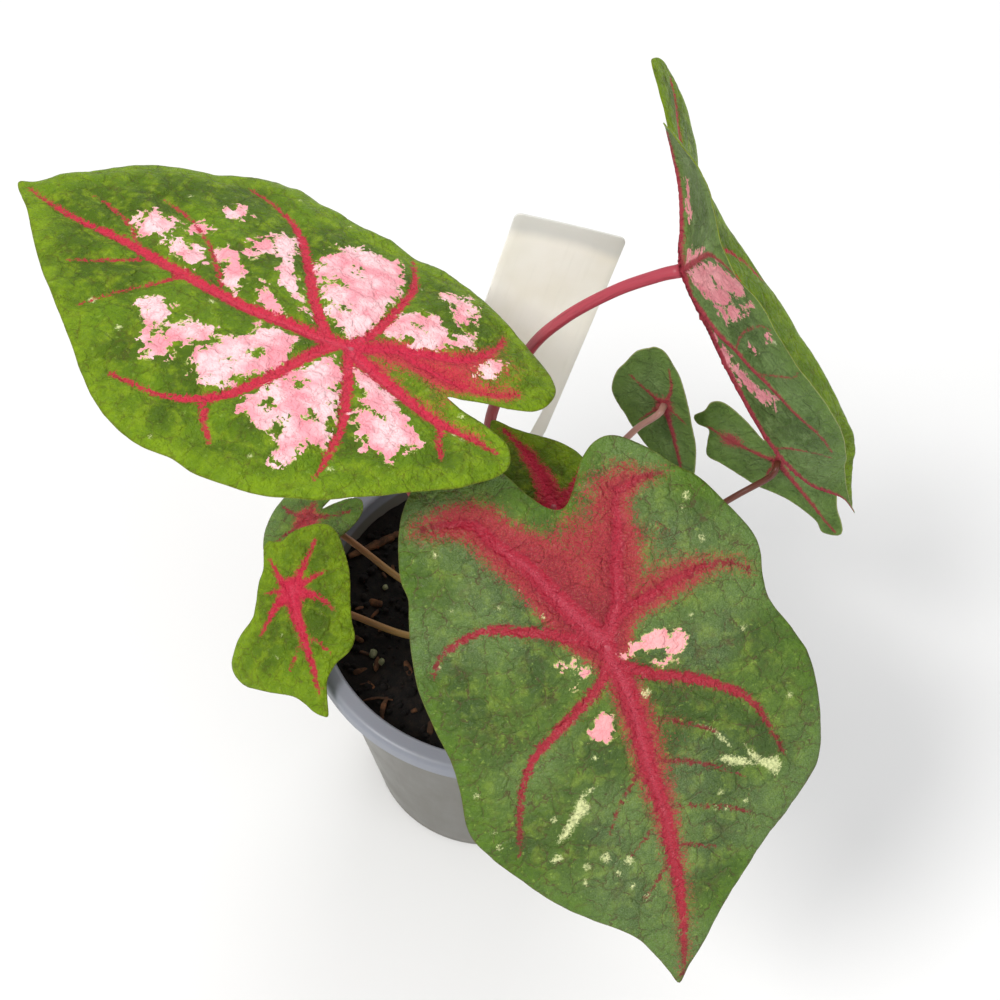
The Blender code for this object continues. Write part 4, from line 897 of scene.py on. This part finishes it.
    n = len(flat)
    verts = np.concatenate([top, under]) * MM
    faces, index = [], []
    for f in out_f:
        a, b, c = f[0], f[1], f[2]
        area = ((flat[b, 0] - flat[a, 0]) * (flat[c, 1] - flat[a, 1])
                - (flat[b, 1] - flat[a, 1]) * (flat[c, 0] - flat[a, 0]))
        if area < 0:
            b, c = c, b
        faces.append((a, b, c))
        index.append(0)
        faces.append((c + n, b + n, a + n))
        index.append(1)
    turning = 0.0
    for i in range(len(loop)):
        a, b = flat[loop[i - 1]], flat[loop[i]]
        turning += a[0] * b[1] - a[1] * b[0]
    ring = loop if turning > 0 else loop[::-1]
    for i in range(len(ring)):
        a, b = ring[i - 1], ring[i]
        faces.append((a, a + n, b + n, b))
        index.append(0)
    double = lambda x: np.concatenate([x, x])
    uv = np.concatenate([flat, np.zeros((n, 1))], axis=1) + np.array([leaf["seed"] * 37.0, 0, 0])
    obj = make_object(
        name + "_blade_look", verts, faces, [top_material, under_material], index,
        {"vein": double(vein), "haze": double(haze), "patch": double(patch), "pale": double(pale),
         "edge": double(margin), "net": double(net), "girth": double(girth)},
        {"leaf_uv": np.concatenate([uv, uv])})
    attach(obj, "root")
    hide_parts(name + "_blade")
    return point


def tube(name, line, radii, sides, material, flat_ratio=None):
    """A round stalk along a 3-D line in mm, with rounded ends, and maps along it."""
    line = np.asarray(line, float)
    tangent = unit(np.gradient(line, axis=0))
    side = unit(np.cross(tangent[0], np.array([0.3, 0.9, 0.1])))
    verts, along, coords = [], [], []
    length = np.concatenate([[0], np.cumsum(np.linalg.norm(np.diff(line, axis=0), axis=1))])
    for i in range(len(line)):
        side = unit(side - tangent[i] * (side @ tangent[i]))
        other = np.cross(tangent[i], side)
        for k in range(sides):
            a = 2 * math.pi * k / sides
            r = radii[i] * (1 + 0.035 * math.cos(3 * a + 0.4) + 0.02 * math.cos(5 * a + length[i] * 0.05))
            verts.append(line[i] + (side * math.cos(a) + other * math.sin(a)) * r)
            along.append(length[i] / length[-1])
            coords.append((math.cos(a) * radii[i] * 1.6, math.sin(a) * radii[i] * 1.6, length[i] * 0.14))
    faces = []
    for i in range(len(line) - 1):
        for k in range(sides):
            j = (k + 1) % sides
            faces.append((i * sides + k, i * sides + j, (i + 1) * sides + j, (i + 1) * sides + k))
    for end, i in ((0, 0), (1, len(line) - 1)):
        verts.append(line[i] + tangent[i] * (0.25 if end else -0.25) * radii[i])
        along.append(float(end))
        coords.append((0.0, 0.0, length[i] * 0.14))
        c = len(verts) - 1
        for k in range(sides):
            j = (k + 1) % sides
            a, b = i * sides + k, i * sides + j
            faces.append((a, b, c) if end else (b, a, c))
    return make_object(name, np.array(verts) * MM, faces, [material], None, {"along": along}, {"stalk_uv": coords})


# ------------------------------------------------------------------ build
materials = {
    look: (blade_material("leaf_top_" + look, look, False), blade_material("leaf_under_" + look, look, True))
    for look in ("bright", "dusty")}
surfaces = {}
for leaf_name, leaf in LEAVES.items():
    top_material, under_material = materials[leaf["look"]]
    surfaces[leaf_name] = build_blade(leaf_name, leaf, top_material, under_material)

stalk_materials = {
    "red": petiole_material("stalk_red", lin(150, 116, 84), lin(150, 60, 58), lin(176, 64, 80), lin(124, 40, 50)),
    "tan": petiole_material("stalk_tan", lin(132, 112, 70), lin(140, 116, 66), lin(150, 96, 62), lin(112, 84, 50)),
    "pinkish": petiole_material("stalk_pinkish", lin(150, 122, 90), lin(176, 138, 118), lin(188, 140, 128), lin(150, 106, 92)),
    "brown": petiole_material("stalk_brown", lin(136, 104, 76), lin(130, 84, 66), lin(104, 52, 40), lin(92, 58, 46))}
for leaf_name, (radius, kind, route) in PETIOLES.items():
    route = [np.array(p, float) for p in route]
    base = route[0] + np.array([0, 0, -1.2])
    if leaf_name == "leaf_right":
        joint = surfaces[leaf_name](np.array([[0.0, 0.0]]))[0]
        away = -unit(np.array(FOLDED_ROWS[5][2]) + np.array(FOLDED_ROWS[5][3]))
        tail = [joint + away * 0.5]
    else:
        up = unit(np.array(LEAVES[leaf_name]["up"], float))
        at = np.array(LEAVES[leaf_name]["at"], float)
        tail = [at - up * 3.6, at - up * 1.4, at - up * 0.35]
    line = smooth_line([base, route[0] + np.array([0, 0, 1.8])] + route[1:] + tail, 1.5)
    f = np.linspace(0, 1, len(line))
    radii = radius * (1.0 + 0.55 * np.exp(-f / 0.05) + 0.22 * np.exp(-f / 0.25) + 0.10 * np.exp(-(1 - f) / 0.03))
    stalk = tube(leaf_name + "_petiole_look", line, radii, 22, stalk_materials[kind])
    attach(stalk, "root")
    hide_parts(leaf_name + "_petiole")


def lathe(name, profile, steps, material):
    verts, faces = [], []
    n = len(profile)
    for i in range(steps):
        a = 2 * math.pi * i / steps
        for r, z in profile:
            verts.append((r * math.cos(a) * MM, r * math.sin(a) * MM, z * MM))
    for i in range(steps):
        j = (i + 1) % steps
        for k in range(n - 1):
            faces.append((i * n + k, i * n + k + 1, j * n + k + 1, j * n + k))
    obj = make_object(name, verts, faces, [material])
    bm = bmesh.new()
    bm.from_mesh(obj.data)
    bmesh.ops.remove_doubles(bm, verts=bm.verts, dist=0.000002)
    bmesh.ops.recalc_face_normals(bm, faces=bm.faces)
    bm.to_mesh(obj.data)
    bm.free()
    return obj


# Pot, with its rolled rim, a foot ring and drain holes.
def outer(z):
    return 34.4 + (48.3 - 34.4) / 83.4 * z


def arc(cx, cz, r, start, end, count):
    return [(cx + r * math.cos(math.radians(start + (end - start) * i / (count - 1))),
             cz + r * math.sin(math.radians(start + (end - start) * i / (count - 1)))) for i in range(count)]


profile = [(0.0, 2.0), (20.0, 2.0), (outer(2) - 3.6, 2.0)] + arc(outer(3.6) - 3.4, 3.6, 1.6, -90, 0, 5)[1:]
profile += [(outer(z) - 1.6, z) for z in (20, 40, 60, 76)]
profile += [(outer(80.0) - 1.5, 81.0), (outer(83.0) - 1.2, 84.6), (47.1, 86.6)]
profile += arc(48.5, 87.2, 1.4, 180, 90, 6)
profile += [(50.2, 88.6)] + arc(50.7, 86.8, 1.8, 88, 0, 7)
profile += [(52.5, 85.0), (52.5, 84.0)] + arc(51.9, 83.9, 0.6, 0, -90, 4)
profile += [(51.3, 83.4), (50.9, 84.2), (50.4, 85.6), (49.2, 85.8), (outer(83.4) + 0.4, 85.3), (outer(83.4), 83.2)]
profile += [(outer(z), z) for z in (82.0, 60, 40, 20, 4.0)]
profile += arc(outer(1.8) - 1.6, 1.6, 1.6, 8, -90, 6)
profile += [(31.4, 0.0), (30.8, 0.35), (30.0, 0.4), (18.5, 0.4), (18.0, 0.0), (0.0, 0.0)]
pot_look = lathe("pot_look", profile, 192, pot_material())
holes = []
for i in range(6):
    angle = 2 * math.pi * (i + 0.5) / 6
    bpy.ops.mesh.primitive_cylinder_add(vertices=40, radius=3.2 * MM, depth=12 * MM,
                                        location=(24 * MM * math.cos(angle), 24 * MM * math.sin(angle), 0))
    hole = bpy.context.object
    cut = pot_look.modifiers.new("drain", "BOOLEAN")
    cut.operation, cut.solver, cut.object = "DIFFERENCE", "EXACT", hole
    holes.append(hole)
bpy.context.view_layer.update()
drilled = bpy.data.meshes.new_from_object(pot_look.evaluated_get(bpy.context.evaluated_depsgraph_get()))
pot_look.modifiers.clear()
pot_look.data = drilled
for hole in holes:
    bpy.data.objects.remove(hole, do_unlink=True)
pot_look.data.shade_smooth()
pot_look.data.set_sharp_from_angle(angle=math.radians(38))
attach(pot_look, "root")
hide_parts("pot")

# Soil: an uneven bed with loose crumbs, bark chips and a few pale grains.
random.seed(21)
SOIL = 79.5


def soil_height(x, y):
    x, y = np.asarray(x, float), np.asarray(y, float)
    r = np.hypot(x, y)
    h = (fbm(x / 7.0 + 50, y / 7.0 + 50, 31, 3) - 0.5) * 2.2 + (fbm(x / 2.0 + 50, y / 2.0 + 50, 37, 2) - 0.5) * 0.9
    crown = 0.8 * np.exp(-(r / 14.0) ** 2)
    return SOIL - 0.2 + h + crown + 0.8 * np.clip((r - 40) / 6.0, 0, 1) ** 2


rings, spokes = 58, 200
verts, faces = [(0.0, 0.0, float(soil_height(0, 0)))], []
for i in range(1, rings + 1):
    for k in range(spokes):
        a = 2 * math.pi * k / spokes
        r = 45.9 * i / rings
        x, y = r * math.cos(a), r * math.sin(a)
        verts.append((x, y, float(soil_height(x, y))))
side_rows = [(45.9, 70.0), (outer(40) - 1.7, 40.0), (outer(4) - 1.75, 4.0), (outer(4) - 3.4, 2.25)]
for r, z in side_rows:
    for k in range(spokes):
        a = 2 * math.pi * k / spokes
        rr = min(r, outer(z) - 1.7)
        verts.append((rr * math.cos(a), rr * math.sin(a), z))
for k in range(spokes):
    faces.append((0, 1 + k, 1 + (k + 1) % spokes))
for i in range(rings + len(side_rows) - 1):
    for k in range(spokes):
        j = (k + 1) % spokes
        a, b = 1 + i * spokes, 1 + (i + 1) * spokes
        faces.append((a + k, b + k, b + j, a + j))
verts.append((0.0, 0.0, 2.25))
last = 1 + (rings + len(side_rows) - 1) * spokes
for k in range(spokes):
    faces.append((len(verts) - 1, last + (k + 1) % spokes, last + k))
index = [0] * len(faces)

bm = bmesh.new()
bmesh.ops.create_icosphere(bm, subdivisions=2, radius=1.0)
ball = np.array([v.co[:] for v in bm.verts])
ball_faces = [[v.index for v in f.verts] for f in bm.faces]
bm.free()
blocked = [(0.0, 0.0, 10.5)]


def lump(x, y, size, stretch, kind, seed, sink=0.25):
    rng = np.random.default_rng(seed)
    axes = np.array(stretch) * size
    turn = Matrix.Rotation(rng.uniform(0, 6.28), 3, "Z") @ Matrix.Rotation(rng.uniform(-0.5, 0.5), 3, "X") \
        @ Matrix.Rotation(rng.uniform(-0.4, 0.4), 3, "Y")
    jag = 1 + 0.34 * (fbm(ball[:, 0] * 1.4 + seed, ball[:, 1] * 1.4 + ball[:, 2] * 1.1, seed, 2) - 0.5) * 2
    shape = ball * jag[:, None]
    if kind != 0:
        shape = np.sign(shape) * np.abs(shape) ** 0.72
    pts = (np.array(turn) @ (shape * axes).T).T
    base = float(soil_height(x, y))
    pts = pts + np.array([x, y, base + axes[2] * (1 - sink) * 0.6])
    first = len(verts)
    verts.extend(tuple(p) for p in pts)
    for f in ball_faces:
        faces.append(tuple(first + i for i in f))
        index.append(kind)


for i in range(1150):
    a, r = random.uniform(0, 2 * math.pi), 44.3 * math.sqrt(random.uniform(0.0, 1.0))
    s = random.choice([0.45, 0.6, 0.8, 1.1]) * random.uniform(0.8, 1.25)
    if r + s > 45.2 or r < 4:
        continue
    lump(r * math.cos(a), r * math.sin(a), s, (1.0, random.uniform(0.6, 1.0), random.uniform(0.5, 0.8)), 0, 100 + i)
for i in range(74):
    a, r = random.uniform(0, 2 * math.pi), 41.5 * math.sqrt(random.uniform(0.08, 1.0))
    s = random.uniform(1.2, 2.6)
    lump(r * math.cos(a), r * math.sin(a), s, (1.0, random.uniform(0.25, 0.5), random.uniform(0.12, 0.25)), 1, 900 + i, 0.0)
for i in range(5):
    a, r = random.uniform(0, 2 * math.pi), 42.0 * math.sqrt(random.uniform(0.08, 1.0))
    lump(r * math.cos(a), r * math.sin(a), random.uniform(0.5, 1.0), (1.0, 0.8, 0.7), 2, 1500 + i, 0.1)


def twig(points, radius, kind, seed):
    """A bent bit of bark or root lying on the bed; points are (x, y, height above it)."""
    rng = np.random.default_rng(seed)
    line = smooth_line([(x, y, float(soil_height(x, y)) + z) for x, y, z in points], 0.7)
    tangent = unit(np.gradient(line, axis=0))
    first, sides = len(verts), 9
    for i, at in enumerate(line):
        side = unit(np.cross(tangent[i], np.array([0.0, 0.0, 1.0])))
        other = np.cross(side, tangent[i])
        f = i / (len(line) - 1)
        r = radius * (0.35 + 0.65 * math.sin(math.pi * min(max(f, 0.04), 0.96)) ** 0.5) * rng.uniform(0.85, 1.12)
        for k in range(sides):
            angle = 2 * math.pi * k / sides
            rr = r * rng.uniform(0.86, 1.1)
            verts.append(tuple(at + side * math.cos(angle) * rr + other * math.sin(angle) * rr * 0.7))
    for i in range(len(line) - 1):
        for k in range(sides):
            j = (k + 1) % sides
            faces.append((first + i * sides + k, first + (i + 1) * sides + k, first + (i + 1) * sides + j, first + i * sides + j))
            index.append(kind)
    end = first + (len(line) - 1) * sides
    faces.append(tuple(first + k for k in range(sides)))
    faces.append(tuple(end + k for k in reversed(range(sides))))
    index.extend([kind, kind])


# The bits that show between the leaves: bark slivers, a brown root and a pale grain.
twig([(-33.4, -30.3, 0.5), (-29.5, -29.0, 0.9), (-25.6, -28.9, 0.5)], 0.42, 1, 1)
twig([(-27.2, -28.3, 0.8), (-27.9, -32.0, 0.9), (-27.8, -35.8, 0.4)], 0.75, 1, 2)
twig([(-34.8, -25.2, 0.3), (-32.6, -24.4, 0.5), (-31.0, -24.9, 0.3)], 0.3, 1, 3)
twig([(-42.5, 14.8, 0.5), (-38.0, 18.3, 0.8), (-34.3, 21.0, 0.8), (-29.0, 24.3, 0.6), (-26.0, 24.6, 0.3)], 1.3, 1, 4)
lump(-32.3, -15.1, 1.35, (1.0, 0.75, 0.6), 2, 2005, 0.0)
lump(-31.6, -18.8, 0.5, (1.0, 0.75, 0.6), 2, 2007, 0.0)
# The peat's near-black colour is partly its own dark tone and partly painted shade of the pot's interior.
soil_look = make_object(
    "soil_look", np.array(verts) * MM, faces,
    [soil_material("soil_peat_and_painted_shade", lin(12, 10, 9), lin(30, 24, 19), 420.0),
     soil_material("soil_bark", lin(58, 38, 24), lin(112, 74, 46), 300.0, 0.85),
     soil_material("soil_perlite", lin(112, 116, 84), lin(160, 162, 130), 700.0, 0.9)], index)
soil_look.data.set_sharp_from_angle(angle=math.radians(50))
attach(soil_look, "root")
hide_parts("soil")

# Tuber: a knobbly corm whose crown shows among the stalks.
bm = bmesh.new()
bmesh.ops.create_icosphere(bm, subdivisions=5, radius=1.0)
for vert in bm.verts:
    p = np.array(vert.co[:])
    rough = 0.5 * (fbm(np.array([p[0] * 2.2 + 9]), np.array([p[1] * 2.2 + p[2] * 1.7]), 51, 3)[0] - 0.5)
    scales = 0.03 * math.sin(p[2] * 26 + 3 * math.sin(math.atan2(p[1], p[0]) * 3))
    radius = 1 + 0.16 * rough + scales
    vert.co = Vector((p[0] * 10.3 * radius * MM, p[1] * 10.3 * radius * MM, (73.2 + p[2] * 7.4 * radius) * MM))
mesh = bpy.data.meshes.new("tuber_look")
bm.to_mesh(mesh)
bm.free()
mesh.materials.append(tuber_material())
mesh.shade_smooth()
tuber_look = bpy.data.objects.new("tuber_look", mesh)
bpy.context.scene.collection.objects.link(tuber_look)
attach(tuber_look, "root")
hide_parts("tuber")

# Label: a thin tag with softened edges, very slightly bowed.
half, top, buried = 14.0, 107.0, 26.0
outline = [(-half + 1.6, top), (half - 1.6, top)] + arc(half - 1.6, top - 1.6, 1.6, 90, 0, 6)[1:]
outline += [(half, top - 20), (half - 0.2, 40), (half - 3.6, 8.0), (half - 7.5, -buried), (half - 8.2, -buried - 0.2),
            (half - 9.0, -buried), (half - 6.6, 8.0), (half - 3.2, 47.0), (-half, top - 38.0)]
outline += arc(-half + 1.6, top - 1.6, 1.6, 180, 90, 6)[:-1]
bm = bmesh.new()
loop = [bm.verts.new((x, y, 0.0)) for x, y in outline]
bm.faces.new(loop[::-1])
bmesh.ops.recalc_face_normals(bm, faces=bm.faces)
for step in range(44):
    y = -24.0 + step * 3.0
    geom = list(bm.verts) + list(bm.edges) + list(bm.faces)
    bmesh.ops.bisect_plane(bm, geom=geom, plane_co=(0, y, 0), plane_no=(0, 1, 0))
for step in range(7):
    x = -12.0 + step * 4.0
    geom = list(bm.verts) + list(bm.edges) + list(bm.faces)
    bmesh.ops.bisect_plane(bm, geom=geom, plane_co=(x, 0, 0), plane_no=(1, 0, 0))
for vert in bm.verts:
    x, y = vert.co.x, vert.co.y
    vert.co.z = 0.35 * math.sin(max(y, 0) / 107.0 * math.pi) + 0.25 * (x / 14.0) ** 2
for vert in bm.verts:
    vert.co *= MM
mesh = bpy.data.meshes.new("plant_label_look")
bm.to_mesh(mesh)
bm.free()
label_look = bpy.data.objects.new("plant_label_look", mesh)
bpy.context.scene.collection.objects.link(label_look)
thick = label_look.modifiers.new("thickness", "SOLIDIFY")
thick.thickness, thick.offset = 0.55 * MM, 0.0
soften = label_look.modifiers.new("soften", "BEVEL")
soften.width, soften.segments, soften.limit_method, soften.angle_limit = 0.14 * MM, 2, "ANGLE", math.radians(50)
mesh.materials.append(label_material())
mesh.shade_smooth()
label_look.location = (-12.2 * MM, 33.6 * MM, 78.6 * MM)
label_look.rotation_euler = (math.radians(82.3), math.radians(13.0), math.radians(0.8))
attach(label_look, "root")
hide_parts("plant_label")

# ------------------------------------------------------------------ floor, light, camera
bm = bmesh.new()
bmesh.ops.create_grid(bm, x_segments=8, y_segments=8, size=3.0)
mesh = bpy.data.meshes.new("floor")
bm.to_mesh(mesh)
bm.free()
floor = bpy.data.objects.new("floor", mesh)
bpy.context.scene.collection.objects.link(floor)
floor.location = (0, 0, -0.0004)
paper = Nodes("floor_paper")
paper.shader.inputs["Base Color"].default_value = (0.86, 0.86, 0.86, 1)
paper.shader.inputs["Roughness"].default_value = 0.9
mesh.materials.append(paper.material)


def area(name, location, target, size, energy, colour=(1, 1, 1)):
    data = bpy.data.lights.new(name, "AREA")
    data.shape, data.size, data.energy, data.color = "DISK", size, energy, colour
    lamp = bpy.data.objects.new(name, data)
    bpy.context.scene.collection.objects.link(lamp)
    lamp.location = location
    direction = Vector(target) - Vector(location)
    lamp.rotation_euler = direction.to_track_quat("-Z", "Y").to_euler()


area("key", (-0.75, -0.55, 1.25), (0, 0, 0.12), 0.55, 14.0, (1.0, 0.985, 0.96))
area("fill", (0.95, -0.75, 0.85), (0, 0, 0.12), 1.2, 5.0, (0.96, 0.98, 1.0))
area("back", (0.25, 1.15, 1.0), (0, 0, 0.14), 1.0, 6.6, (1.0, 1.0, 1.0))
world = bpy.data.worlds.new("studio")
world.use_nodes = True
world.node_tree.nodes["Background"].inputs["Color"].default_value = (1, 1, 1, 1)
world.node_tree.nodes["Background"].inputs["Strength"].default_value = 0.56
bpy.context.scene.world = world
bpy.context.scene.view_settings.view_transform = "Standard"

right = Vector((0.99742008, 0.05833783, 0.04183147))
up = Vector((-0.07178562, 0.81057085, 0.58122434))
back = right.cross(up)
camera_data = bpy.data.cameras.new("camera")
camera_data.lens, camera_data.sensor_width = 54.0, 36.0
camera_data.clip_start = 0.01
camera = bpy.data.objects.new("camera", camera_data)
bpy.context.scene.collection.objects.link(camera)
turn = Matrix((right, up, back)).transposed().to_4x4()
camera.matrix_world = Matrix.Translation((-0.00099658, -0.21634999, 0.43574104)) @ turn
bpy.context.scene.camera = camera
